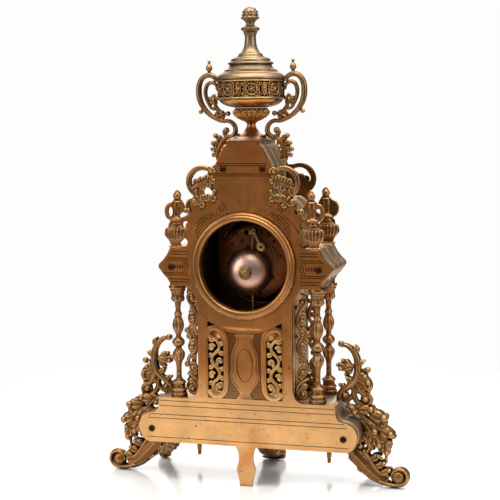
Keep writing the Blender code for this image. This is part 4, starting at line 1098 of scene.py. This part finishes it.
# ---------------------------------------------------------------- screws and drops
# Slotted steel screws with a brown patina hold the back plate, and two turned drops hang
# under the front corners.
brown_steel = aged_brass_painted_light("brown_steel", (0.070, 0.030, 0.018), (0.26, 0.15, 0.09),
                         (0.02, 0.01, 0.008), (0.32, 0.5))
for where in ("base", "top", "wing"):
    for side in ("right", "left"):
        source = "%s_screw_%s" % (where, side)
        low, high = (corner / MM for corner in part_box(source))
        x, z, seat = (low.x + high.x) / 2, (low.z + high.z) / 2, low.y
        head = turned("head", [(0, seat, 0), (3.6, seat, 0), (3.6, seat + 0.5, 0),
                               (3.1, seat + 1.15), (1.8, seat + 1.6), (0, seat + 1.75)], (x, 0, z),
                       True, 24)
        slot_cut = block((x - 4, seat + 0.75, z - 0.45), (x + 4, seat + 3, z + 0.45))
        slot_cut.data.transform(Matrix.Translation((x * MM, 0, z * MM)) @
                                Matrix.Rotation(0.5 + x * 0.07 + z * 0.013, 4, "Y") @
                                Matrix.Translation((-x * MM, 0, -z * MM)))
        cut_away(head, [slot_cut])
        head.name = "slotted_" + source
        smooth_shaded(head, 30)
        finish(head, brown_steel, "blued_steel", nodes=(source,))
for side in ("right", "left"):
    source = "front_drop_" + side
    low, high = (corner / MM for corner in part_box(source))
    line = [(0, high.z, 0), (3.4, high.z, 0), (3.4, 29.0, 0), (4.0, 28.2), (3.9, 26.6, 0),
            (3.3, 25.6), (2.7, 20.4), (2.0, 15.4, 0), (2.3, 14.6), (1.8, 12.8), (0, low.z)]
    drop = turned("turned_" + source, line, ((low.x + high.x) / 2, (low.y + high.y) / 2, 0),
                  steps=24)
    finish(drop, old_brass, "dark_brass", nodes=(source,))

# ---------------------------------------------------------------- front feet
# Two scroll feet stand out from the front corners and a broad one from the middle, each with
# an acanthus leaf over its knee.
def stood(piece, origin, heading):
    """Turn parts drawn in the (out, up) plane to face a heading and move them to their place."""
    turn = Matrix.Rotation(math.radians(heading), 4, "Z")
    piece.data.transform(Matrix.Translation([value * MM for value in origin]) @ turn)
    return piece


for name, origin, heading, wide, reach in (("right", (94, -1.65, 0), -42, 1.0, 50.6),
                                           ("left", (-94, -1.65, 0), -138, 1.0, 50.6),
                                           ("centre", (0, -3.65, 0), -90, 2.15, 56.6)):
    ball = reach + 2.6 - 9.4
    parts = [strand([(5.0, 37.6), (12, 36), (20, 30.4), (27.4, 21.4), (34, 13.4), (ball - 5, 8.4),
                     (ball + 1, 4.4)], [4.8, 5.9, 6.4, 6.2, 5.4, 4.6, 3.4], 0, 1.05 * wide,
                    sides=3)]
    parts.append(strand([(ball - 3, 4.0), (ball + 2, 2.6), (ball + 7.4, 5.4), (ball + 7.6, 12),
                         (ball + 3, 16.4), (ball - 3, 15), (ball - 4.6, 10)],
                        [2.5, 2.5, 2.3, 2.2, 2.1, 1.9], 0, 2.6 * wide, sides=3))
    parts.append(bead(ball + 1, 9.4, 6.8, 0, 1.04 * wide))
    for offset in (-1, 0, 1):
        parts.append(strand([(14, 41.5), (23, 35), (32, 24), (39, 15.6)], [1.2, 1.6, 1.7, 1.2],
                            offset * 3.2 * wide, 0.9))
    for root, tip, width in (((10, 37), (8.6, 27.0), 8.0), ((16, 34), (13.0, 23.4), 8.4),
                             ((22, 28), (19.4, 17.6), 8.0), ((28, 21), (26.4, 12.4), 7.0)):
        for offset in (-2.8, 2.8):
            parts.append(petal(root, tip, width, offset * wide, 6.0 * wide,
                               0.8 if offset > 0 else -0.8))
    foot = joined("scroll_front_foot_" + name, parts)
    stood(foot, origin, heading)
    foot = cast("scroll_front_foot_" + name, [foot], old_brass, "dark_brass", 0.65, 1)
    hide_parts("front_foot_" + name)

# ---------------------------------------------------------------- urn
# A turned and gadrooned urn stands on the cap: a waisted foot, a shallow bowl, a cast frieze
# pierced round a black drum of painted shade, and a stepped lid that runs up into an acorn finial.
URN_Y = (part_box("urn_foot")[0].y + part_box("urn_foot")[1].y) / 2 / MM
urn_brass = aged_brass_painted_light("urn_brass", (0.56, 0.29, 0.095), (0.86, 0.62, 0.30), (0.10, 0.05, 0.02),
                       (0.20, 0.36), shade_reach=0.006)
# The lid and finial brass is painted greyer: a painted sheen for the white light that their upper
# faces reflect.
painted_sheen_lid_brass = aged_brass_painted_light("painted_sheen_lid_brass", (0.38, 0.27, 0.158), (0.70, 0.54, 0.34), (0.10, 0.06, 0.03),
                       (0.34, 0.50))
foot_line = [(0, 381.15, 0), (18.2, 381.15, 0), (18.2, 382.4, 0), (14.6, 384.0), (10.4, 386.0),
             (7.0, 388.6), (5.0, 391.6), (4.7, 394.2), (5.8, 395.4, 0), (6.6, 396.4),
             (10.2, 398.2), (15.0, 401.2), (18.4, 405.0), (19.2, 408.0), (18.2, 410.4),
             (17.4, 411.45, 0), (0, 411.45, 0)]
foot = turned("urn_foot_form", foot_line, (0, URN_Y, 0), steps=144)
fluted(foot, (0, URN_Y), 396.6, 409.8, 20, 0.22)
foot.name = "gadrooned_urn_foot"
finish(foot, urn_brass, "yellow_brass", nodes=("urn_foot",))
bowl_line = [(0, 411.8, 0), (17.4, 411.8, 0), (18.6, 412.2, 0), (20.8, 412.6), (27.0, 414.2),
             (32.0, 416.8), (34.8, 420.0), (35.0, 421.1, 0), (0, 421.1, 0)]
finish(turned("turned_urn_bowl", bowl_line, (0, URN_Y, 0), steps=96), urn_brass, "yellow_brass",
       nodes=("urn_bowl",))
# A black drum inside the frieze is painted shade seen through its piercings.
drum_line = [(31.0, 421.5, 0), (33.2, 421.5, 0), (33.2, 441.3, 0), (31.0, 441.3, 0),
             (31.0, 421.5, 0)]
finish(turned("frieze_shade_drum", drum_line, (0, URN_Y, 0), steps=96), painted_shade_black, "dark_brass")
FRIEZE_R = 36.4
FRIEZE_Z = 431.3


def frieze_repeat(middle):
    """One repeat of the frieze drawn flat: a rosette in a ring between leafy C scrolls."""
    made = [strand(ring_points((middle, FRIEZE_Z), 6.0, 0, 359, 13), 1.3, 0, 1.2),
            bead(middle, FRIEZE_Z, 2.0, 0, 1.0)]
    for turn in range(6):
        angle = math.radians(60 * turn + 30)
        made.append(petal((middle + 1.2 * math.cos(angle), FRIEZE_Z + 1.2 * math.sin(angle)),
                          (middle + 4.6 * math.cos(angle), FRIEZE_Z + 4.6 * math.sin(angle)), 2.8,
                          0, 2.2))
    for side in (1, -1):
        for tilt in (1, -1):
            path = [(6.2, 0.6), (8.6, 3.2), (8.4, 6.6), (5.4, 7.8), (3.2, 6.8)]
            made.append(strand([(middle + side * x, FRIEZE_Z + tilt * z) for x, z in path],
                               [1.0, 1.45, 1.4, 1.1], 0, 1.1))
            made.append(bead(middle + side * 6.3, FRIEZE_Z + tilt * 5.0, 1.3, 0))
            made.append(petal((middle + side * 8.6, FRIEZE_Z + tilt * 2.6),
                              (middle + side * 11.6, FRIEZE_Z + tilt * 7.6), 3.0, 0, 2.2))
        made.append(petal((middle + side * 6.4, FRIEZE_Z), (middle + side * 10.0, FRIEZE_Z), 3.0,
                          0, 2.4))
    return made


STEP = math.tau * FRIEZE_R / 8
parts = []
for repeat in range(8):
    middle = STEP * repeat
    parts += frieze_repeat(middle)
    shield = [(middle + STEP / 2 + x, FRIEZE_Z + z) for x, z in ((0, -7.4), (2.6, -4.0),
                                                                 (3.2, 1.0), (2.2, 6.6), (0, 8.0),
                                                                 (-2.2, 6.6), (-3.2, 1.0),
                                                                 (-2.6, -4.0))]
    parts += [filled(shield, -0.9, 0.9), bead(middle + STEP / 2, 431.8, 1.6, -0.6, 0.9)]
flat_frieze = joined("pierced_urn_frieze", parts)
flat_frieze.data.remesh_voxel_size = 0.42 * MM
choose(flat_frieze)
bpy.ops.object.voxel_remesh()
add_modifier(flat_frieze, "SMOOTH", factor=0.5, iterations=1)
for vertex in flat_frieze.data.vertices:
    angle = vertex.co.x / MM / FRIEZE_R + math.radians(-118)
    radius = (35.2 - vertex.co.y / MM) * MM
    vertex.co.x, vertex.co.y = radius * math.cos(angle), radius * math.sin(angle) + URN_Y * MM
for face in flat_frieze.data.polygons:
    face.use_smooth = True
bands = [turned("band", [(33.4, low, 0), (37.4, low, 0), (37.9, low + 0.7), (37.4, low + 1.5, 0),
                         (33.4, low + 1.5, 0), (33.4, low, 0)], (0, URN_Y, 0),
                steps=96) for low in (421.5, 439.8)]
flat_frieze = joined("pierced_urn_frieze", bands + [flat_frieze])
finish(flat_frieze, old_brass, "dark_brass", nodes=("urn_frieze",))
lid_line = [(0, 441.75, 0), (36.4, 441.75, 0), (37.7, 442.8), (37.4, 444.6), (36.2, 446.2),
            (34.0, 448.2), (31.6, 449.6), (30.8, 450.4, 0), (28.8, 451.0, 0), (28.8, 452.2, 0),
            (25.6, 454.4), (23.4, 456.8), (22.8, 458.0, 0), (24.4, 458.6), (24.9, 459.6),
            (24.2, 460.6, 0), (21.8, 461.6, 0), (21.4, 463.6), (19.4, 465.4, 0), (15.6, 466.0, 0),
            (14.6, 467.25, 0), (0, 467.25, 0)]
finish(turned("turned_urn_lid", lid_line, (0, URN_Y, 0), steps=96), painted_sheen_lid_brass, "yellow_brass",
       nodes=("urn_lid",))
finial_line = [(0, 467.6, 0), (13.6, 467.6, 0), (13.0, 469.2), (9.8, 472.2), (7.6, 476.0),
               (6.5, 481.0), (6.1, 486.0), (6.4, 490.0), (7.2, 491.2, 0), (7.6, 491.8),
               (7.0, 492.8, 0), (8.6, 494.2), (10.2, 495.8), (10.5, 497.0, 0), (8.6, 498.4),
               (5.2, 500.2), (4.6, 502.4), (5.6, 504.0, 0), (7.0, 505.6), (9.3, 507.4),
               (9.5, 508.8), (8.4, 509.8, 0), (8.2, 512.0), (7.4, 515.6), (4.8, 518.6),
               (1.8, 519.8), (0, 520.0)]
finial = turned("finial_form", finial_line, (0, URN_Y, 0), steps=96)
fluted(finial, (0, URN_Y), 505.0, 510.0, 9, 0.16)
parts = [finial]
for row, (radius, level) in enumerate(((8.0, 511.6), (7.2, 514.6), (5.0, 517.2))):
    count = 10 - 2 * row
    for step in range(count):
        angle = math.tau * (step + 0.5 * row) / count
        parts.append(bead(radius * math.cos(angle), level, 1.5, URN_Y + radius * math.sin(angle)))
finial = joined("acorn_finial", parts)
finish(finial, painted_sheen_lid_brass, "yellow_brass", nodes=("urn_finial",))

# ---------------------------------------------------------------- urn handles
# Two S scroll handles with little spires and leafy falls are screwed to the crown and bowl.
HANDLE_Y = (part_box("urn_handle_right")[0].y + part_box("urn_handle_right")[1].y) / 2 / MM
parts = [strand([(38.4, 441.6), (43.0, 446.4), (49.0, 447.6), (55.0, 444.8), (58.6, 438.6),
                 (59.6, 430), (58.4, 421), (54.4, 412.6), (48, 405.4), (40.6, 400.6),
                 (32.5, 397.6), (25.6, 397.6), (20.2, 394.0), (18.0, 388.4), (20.0, 382.6),
                 (25.4, 380.2), (30.0, 382.6), (31.4, 387.6)],
                [2.6, 3.0, 3.0, 3.4, 3.5, 3.1, 2.7, 2.4, 2.4, 2.9, 3.0, 2.6, 2.1], HANDLE_Y, 1.15),
          strand([(38.8, 436.2), (43.4, 439.4), (48.6, 438.2), (51.6, 432.6), (51.4, 424.4),
                  (48.6, 417.0), (45.0, 410.6)], [1.9, 2.3, 2.5, 2.2, 1.6], HANDLE_Y, 1.1),
         bead(28.6, 387.4, 3.6, HANDLE_Y), bead(57.8, 407.8, 2.5, HANDLE_Y),
         bead(33.4, 406.6, 3.0, HANDLE_Y), bead(26.2, 405.6, 2.8, HANDLE_Y),
         bead(42.6, 421.0, 2.4, HANDLE_Y, 1.3), strand([(54.8, 411.4), (56.4, 409.0),
                                                        (57.6, 407.8)], 1.4, HANDLE_Y)]
parts.append(strand([(42.6, 421.0), (40.4, 414.0), (36.8, 409.0), (33.4, 406.6)], [2.0, 2.4, 2.2],
                    HANDLE_Y, 1.2))
parts.append(strand([(40.6, 400.6), (35.6, 403.6), (30.6, 405.6), (26.2, 405.6)], [2.2, 1.9, 1.6],
                    HANDLE_Y, 1.2))
for turn in range(5):
    angle = math.radians(72 * turn + 20)
    parts.append(petal((42.6, 421.0), (42.6 + 6.6 * math.cos(angle), 421 + 6.6 * math.sin(angle)),
                       5.4, HANDLE_Y, 4.6))
parts += leaves(HANDLE_Y, 4.0, 1.0, (
    ((50, 418), (44.8, 414), 5.0), ((46, 411), (39.4, 411), 5.0), ((42, 404), (36.0, 408.4), 5.0),
    ((36, 400), (29.4, 403.6), 5.0), ((40, 436), (36.6, 430), 4.6)))
spire = turned("spire", [
    (0, 464.4), (1.5, 463.4), (1.7, 461.6), (1.0, 459.8, 0), (2.0, 458.8), (3.4, 456.2),
    (3.6, 454.2), (1.8, 451.6), (1.4, 450.4, 0), (3.0, 449.6), (3.2, 447.6), (0, 446.0)],
    (47.4, HANDLE_Y, 0), steps=24)
parts.append(spire)
fall = [(27.4, 380.0), (32.0, 376.4), (35.6, 370.4), (38.2, 364.0), (38.6, 357.8), (37.4, 353.6)]
parts.append(strand(fall, [2.6, 3.2, 3.0, 2.2], HANDLE_Y, 1.2))
for x, z, radius in ((40.6, 381.6, 2.9), (43.4, 373.4, 2.9), (33.0, 365.4, 2.8),
                     (45.0, 366.8, 2.6), (34.0, 358.6, 2.5), (43.8, 360.4, 2.5),
                     (30.6, 374.0, 2.6), (37.4, 355.0, 2.4)):
    parts.append(bead(x, z, radius, HANDLE_Y + (1.1 if int(z) % 2 else -1.1), 1.1))
for root, tip, width in (
        ((33, 377), (40.6, 381.4), 7.0), ((36, 373), (43.2, 373.6), 7.0),
        ((38, 368), (45.2, 366.6), 6.6), ((36, 370), (31.0, 364.4), 6.6),
        ((38, 363), (33.4, 358.4), 6.4), ((38, 363), (44.0, 360.4), 6.4)):
    for offset in (-1.4, 1.4):
        parts.append(petal(root, tip, width, HANDLE_Y + offset, 4.0))
handle = cast("scroll_handle_right", parts, old_brass, "dark_brass", 0.5, 1)
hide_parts("urn_handle_right")
mirrored_copy(handle, "scroll_handle_left", nodes=("urn_handle_left",))

# ---------------------------------------------------------------- dial and bezel
# A white enamel dial with radial numerals and a minute track sits behind a beaded brass bezel,
# which swings on a pin at its right with its glass.
DIAL_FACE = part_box("dial")[0].y / MM


def enamel():
    """Fired white enamel: a little uneven in tone and in gloss."""
    made = bpy.data.materials.new("dial_enamel_fired")
    made.use_nodes = True
    node, link = nodes_of(made.node_tree)
    place = node("ShaderNodeTexCoord").outputs["Object"]
    cloud = node("ShaderNodeTexNoise")
    cloud.inputs["Scale"].default_value = 55
    cloud.inputs["Detail"].default_value = 5
    link(place, cloud.inputs["Vector"])
    tone = node("ShaderNodeValToRGB")
    tone.color_ramp.elements[0].color = (0.70, 0.66, 0.57, 1)
    tone.color_ramp.elements[1].color = (0.84, 0.82, 0.75, 1)
    tone.color_ramp.elements[0].position = 0.3
    tone.color_ramp.elements[1].position = 0.6
    link(cloud.outputs["Fac"], tone.inputs["Fac"])
    ripple = node("ShaderNodeBump")
    ripple.inputs["Strength"].default_value = 0.08
    ripple.inputs["Distance"].default_value = 0.0006
    link(cloud.outputs["Fac"], ripple.inputs["Height"])
    shader = node("ShaderNodeBsdfPrincipled")
    shader.inputs["Roughness"].default_value = 0.16
    shader.inputs["Coat Weight"].default_value = 0.5
    link(tone.outputs["Color"], shader.inputs["Base Color"])
    link(ripple.outputs["Normal"], shader.inputs["Normal"])
    link(shader.outputs[0], node("ShaderNodeOutputMaterial").inputs[0])
    return made


NUMERAL_R = 38.2
TRACK_IN, TRACK_OUT = 44.6, 46.4
# A black ring behind the dial's edge is painted shade.
dial_shade_outline = [(28.0, -8.35, 0), (48.6, -8.35, 0), (48.6, -7.6, 0), (28.0, -7.6, 0), (28.0, -8.35, 0)]
finish(turned("dial_shade_ring", dial_shade_outline, (0, 0, DIAL_Z), True, 64), painted_shade_black, "dark_brass")
dial = merged_copy("dial", "enamel_dial")
smooth_shaded(dial, 30)
finish(dial, enamel(), "dial_enamel", nodes=("dial",))
marks = []
for hour, word in enumerate(("XII", "I", "II", "III", "IIII", "V", "VI", "VII", "VIII", "IX", "X",
                             "XI")):
    around = math.tau * hour / 12
    bpy.ops.object.text_add()
    numeral = bpy.context.object
    numeral.data.body = word
    numeral.data.align_x = "CENTER"
    numeral.data.align_y = "CENTER"
    numeral.data.size = 13.5 * MM
    numeral.data.extrude = 0.07 * MM
    numeral.data.offset = 0.16 * MM
    numeral.data.resolution_u = 3
    numeral = as_mesh(numeral)
    squeeze = Matrix.Diagonal((0.80, 1.0, 1.0, 1.0))
    place = Matrix.Translation((NUMERAL_R * MM * math.sin(around), DIAL_FACE * MM,
                                DIAL_Z * MM + NUMERAL_R * MM * math.cos(around)))
    upright = Matrix.Rotation(math.pi / 2, 4, "X")
    numeral.data.transform(place @ Matrix.Rotation(around, 4, "Y") @ upright @ squeeze)
    marks.append(numeral)
for minute in range(60):
    around = math.tau * minute / 60
    wide = 0.42 if minute % 5 == 0 else 0.18
    tick = block((-wide, DIAL_FACE - 0.06, TRACK_IN), (wide, DIAL_FACE + 0.1, TRACK_OUT))
    tick.data.transform(Matrix.Translation((0, 0, DIAL_Z * MM)) @ Matrix.Rotation(around, 4, "Y"))
    marks.append(tick)
for radius in (44.5, TRACK_OUT):
    marks.append(turned("track", [
        (radius - 0.12, DIAL_FACE - 0.06, 0), (radius + 0.12, DIAL_FACE - 0.06, 0),
        (radius + 0.12, DIAL_FACE + 0.1, 0), (radius - 0.12, DIAL_FACE + 0.1, 0),
        (radius - 0.12, DIAL_FACE - 0.06, 0)], (0, 0, DIAL_Z), True, 96))
numerals = joined("dial_numerals", marks)
black_enamel = aged_brass_painted_light("black_enamel", (0.016, 0.014, 0.016), (0.05, 0.05, 0.05),
                          (0.004, 0.004, 0.004), (0.22, 0.34))
finish(numerals, black_enamel, "dial_enamel")

bezel = eased_copy("bezel", "beaded_bezel", 0.0006, 3, 30)
BEZEL_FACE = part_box("bezel")[0].y / MM
PEARLS, PEARL_R = 84, 54.9
pearls = []
for step in range(PEARLS):
    around = math.tau * step / PEARLS
    pearls.append(bead(PEARL_R * math.cos(around), DIAL_Z + PEARL_R * math.sin(around), 1.35,
                       BEZEL_FACE + 2.6, 0.9))
bezel = joined("beaded_bezel", pearls + [bezel])
finish(bezel, urn_brass, "yellow_brass", body="bezel", nodes=("bezel",))
finish(eased_copy("bezel_hinge_pin", "turned_hinge_pin", 0.0004), urn_brass, "yellow_brass",
       nodes=("bezel_hinge_pin",))

crystal = bpy.data.materials.new("old_clear_glass")
crystal.use_nodes = True
node, link = nodes_of(crystal.node_tree)
waves = node("ShaderNodeTexNoise")
waves.inputs["Scale"].default_value = 30
link(node("ShaderNodeTexCoord").outputs["Object"], waves.inputs["Vector"])
swell = node("ShaderNodeBump")
swell.inputs["Strength"].default_value = 0.05
swell.inputs["Distance"].default_value = 0.0005
link(waves.outputs["Fac"], swell.inputs["Height"])
shader = node("ShaderNodeBsdfPrincipled")
shader.inputs["Base Color"].default_value = (0.97, 0.985, 0.975, 1)
shader.inputs["Transmission Weight"].default_value = 1.0
shader.inputs["IOR"].default_value = 1.48
shader.inputs["Roughness"].default_value = 0.015
link(swell.outputs["Normal"], shader.inputs["Normal"])
link(shader.outputs[0], node("ShaderNodeOutputMaterial").inputs[0])
frame["nodes"]["bezel_glass"].data.materials.clear()
frame["nodes"]["bezel_glass"].data.materials.append(crystal)

# ---------------------------------------------------------------- hands
# Blued steel hands with a pierced moon near each tip, the minute hand fast on its arbor.
blued = aged_brass_painted_light("blued_steel_heat", (0.025, 0.045, 0.16), (0.10, 0.14, 0.32),
                   (0.01, 0.012, 0.03), (0.18, 0.30))
for name, body in (("minute_hand", "minute_hand"), ("hour_hand", "hour_hand"),
                   ("centre_arbor", "minute_hand")):
    piece = eased_copy(name, "blued_" + name, 0.00016)
    finish(piece, blued, "blued_steel", body=body, nodes=(name,))

# ---------------------------------------------------------------- movement
# Two round plates on four pillars hold the spring barrels. The rear plate has gone red brown,
# with brighter screws, a cock for the pendulum and the wires of the striking work.
dusky_brass = aged_brass_painted_light("dusky_movement_brass", (0.34, 0.110, 0.040), (0.50, 0.24, 0.10),
                         (0.02, 0.01, 0.006), (0.30, 0.46), shade_reach=0.008)
train_brass = aged_brass_painted_light("train_brass", (0.50, 0.30, 0.11), (0.80, 0.58, 0.28),
                         (0.06, 0.03, 0.015), (0.26, 0.42))
for name in ("movement_back_plate", "movement_front_plate"):
    plate = eased_copy(name, "round_" + name, 0.0004, smooth=30)
    finish(plate, dusky_brass, "yellow_brass", nodes=(name,))
for number in range(1, 5):
    name = "movement_pillar_%d" % number
    low, high = (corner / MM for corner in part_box(name))
    line = [(0, low.y, 0), (2.8, low.y, 0), (2.8, low.y + 2.2, 0), (1.9, low.y + 3.4),
            (1.7, (low.y + high.y) / 2), (1.9, high.y - 3.4), (2.8, high.y - 2.2, 0),
            (2.8, high.y, 0), (0, high.y, 0)]
    x, z = (low.x + high.x) / 2, (low.z + high.z) / 2
    finish(turned("turned_" + name, line, (x, 0, z), True, 24), train_brass, "yellow_brass",
           nodes=(name,))
    nut = [(0, 23.4, 0), (3.4, 23.4, 0), (3.4, 23.9, 0), (2.6, 24.25), (0, 24.4)]
    finish(turned("pillar_nut_%d" % number, nut, (x, 0, z), True, 24), brown_steel, "blued_steel")
for name in ("going_barrel", "strike_barrel"):
    barrel = eased_copy(name, "toothed_" + name, 0.0003)
    finish(barrel, train_brass, "yellow_brass", body=name, nodes=(name,))
wires = []
for x, top, low in ((-1.6, 283.0, 263.0), (-5.0, 279.0, 268.0), (-8.6, 281.0, 266.0)):
    wires.append(strand([(x, top), (x - 0.4, (top + low) / 2), (x - 0.2, low)], 0.55, 28.9))
wires.append(strand([(-14.0, 272.0), (-6.0, 273.6), (0.0, 271.4)], 0.6, 28.3))
wires.append(strand([(-20.0, 262.0), (-26.0, 253.0), (-27.0, 244.0)], 0.8, 24.4))
wires.append(strand([(14.0, 262.0), (22.0, 254.0), (26.0, 244.0)], 0.8, 24.4))
finish(joined("striking_wires", wires), train_brass, "yellow_brass")
plate_screws = []
for x, z in ((12.0, 266.0), (24.0, 262.0), (-24.0, 266.0), (-12.0, 262.0), (30.0, 250.0),
             (-31.0, 250.0), (6.0, 259.0)):
    plate_screws.append(turned("plate_screw", [(0, 23.4, 0), (1.7, 23.4, 0), (1.7, 24.0, 0),
                                               (1.2, 24.4), (0, 24.5)], (x, 0, z), True, 16))
finish(joined("plate_screws", plate_screws), brown_steel, "blued_steel")
cock = eased_copy("suspension_cock", "filed_suspension_cock", 0.0006, 3)
finish(cock, train_brass, "yellow_brass", nodes=("suspension_cock",))

# ---------------------------------------------------------------- bell, hammer and pendulum
# A satin bell of pinkish bell metal on a post, under a ringed brass nut. The hammer hangs
# beside it on a thin arm and the pendulum hangs behind the lower panel.
BELL_LOW, BELL_HIGH = (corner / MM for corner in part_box("bell"))
BELL_X, BELL_Z = (BELL_LOW.x + BELL_HIGH.x) / 2, (BELL_LOW.z + BELL_HIGH.z) / 2
rim, crest = BELL_LOW.y, BELL_HIGH.y
bell_metal = aged_brass_painted_light("satin_bell_metal", (0.88, 0.59, 0.46), (0.94, 0.76, 0.64),
                        (0.20, 0.10, 0.06), (0.32, 0.42), shade_ramp_stops=(0.1, 0.5))
bell_line = [(1.9, crest, 0), (6.5, crest - 0.3), (12.5, crest - 1.7), (18.2, crest - 4.4),
             (22.7, crest - 8.2), (25.0, rim + 1.6), (25.5, rim, 0), (24.3, rim, 0),
             (23.7, rim + 1.6), (21.2, rim + 4.2), (16.8, crest - 5.6), (11.0, crest - 3.0),
             (6.0, crest - 1.7), (1.9, crest - 1.3, 0), (1.9, crest, 0)]
finish(turned("satin_bell", bell_line, (BELL_X, 0, BELL_Z), True, 96), bell_metal, "bell_metal",
       nodes=("bell",))
nut_line = [(0, crest + 5.2), (2.3, crest + 4.9), (3.3, crest + 4.1, 0), (3.7, crest + 3.5, 0),
            (4.3, crest + 3.6), (5.3, crest + 3.0), (5.7, crest + 2.1, 0), (6.3, crest + 2.2),
            (7.3, crest + 1.4), (7.4, crest + 0.35, 0), (0, crest + 0.35, 0)]
finish(turned("ringed_bell_nut", nut_line, (BELL_X, 0, BELL_Z), True, 48), train_brass,
       "yellow_brass", nodes=("bell_nut",))
for name, new_name, body in (("bell_stand", "filed_bell_stand", "case"),
                             ("hammer", "bell_hammer", "hammer"),
                             ("pendulum", "pendulum_and_bob", "pendulum")):
    piece = eased_copy(name, new_name, 0.00035)
    finish(piece, train_brass, "yellow_brass", body=body, nodes=(name,))

# ---------------------------------------------------------------- leaf lobe
# The leaf lobe that the petals were copied from goes.
bpy.data.objects.remove(leaf_lobe, do_unlink=True)
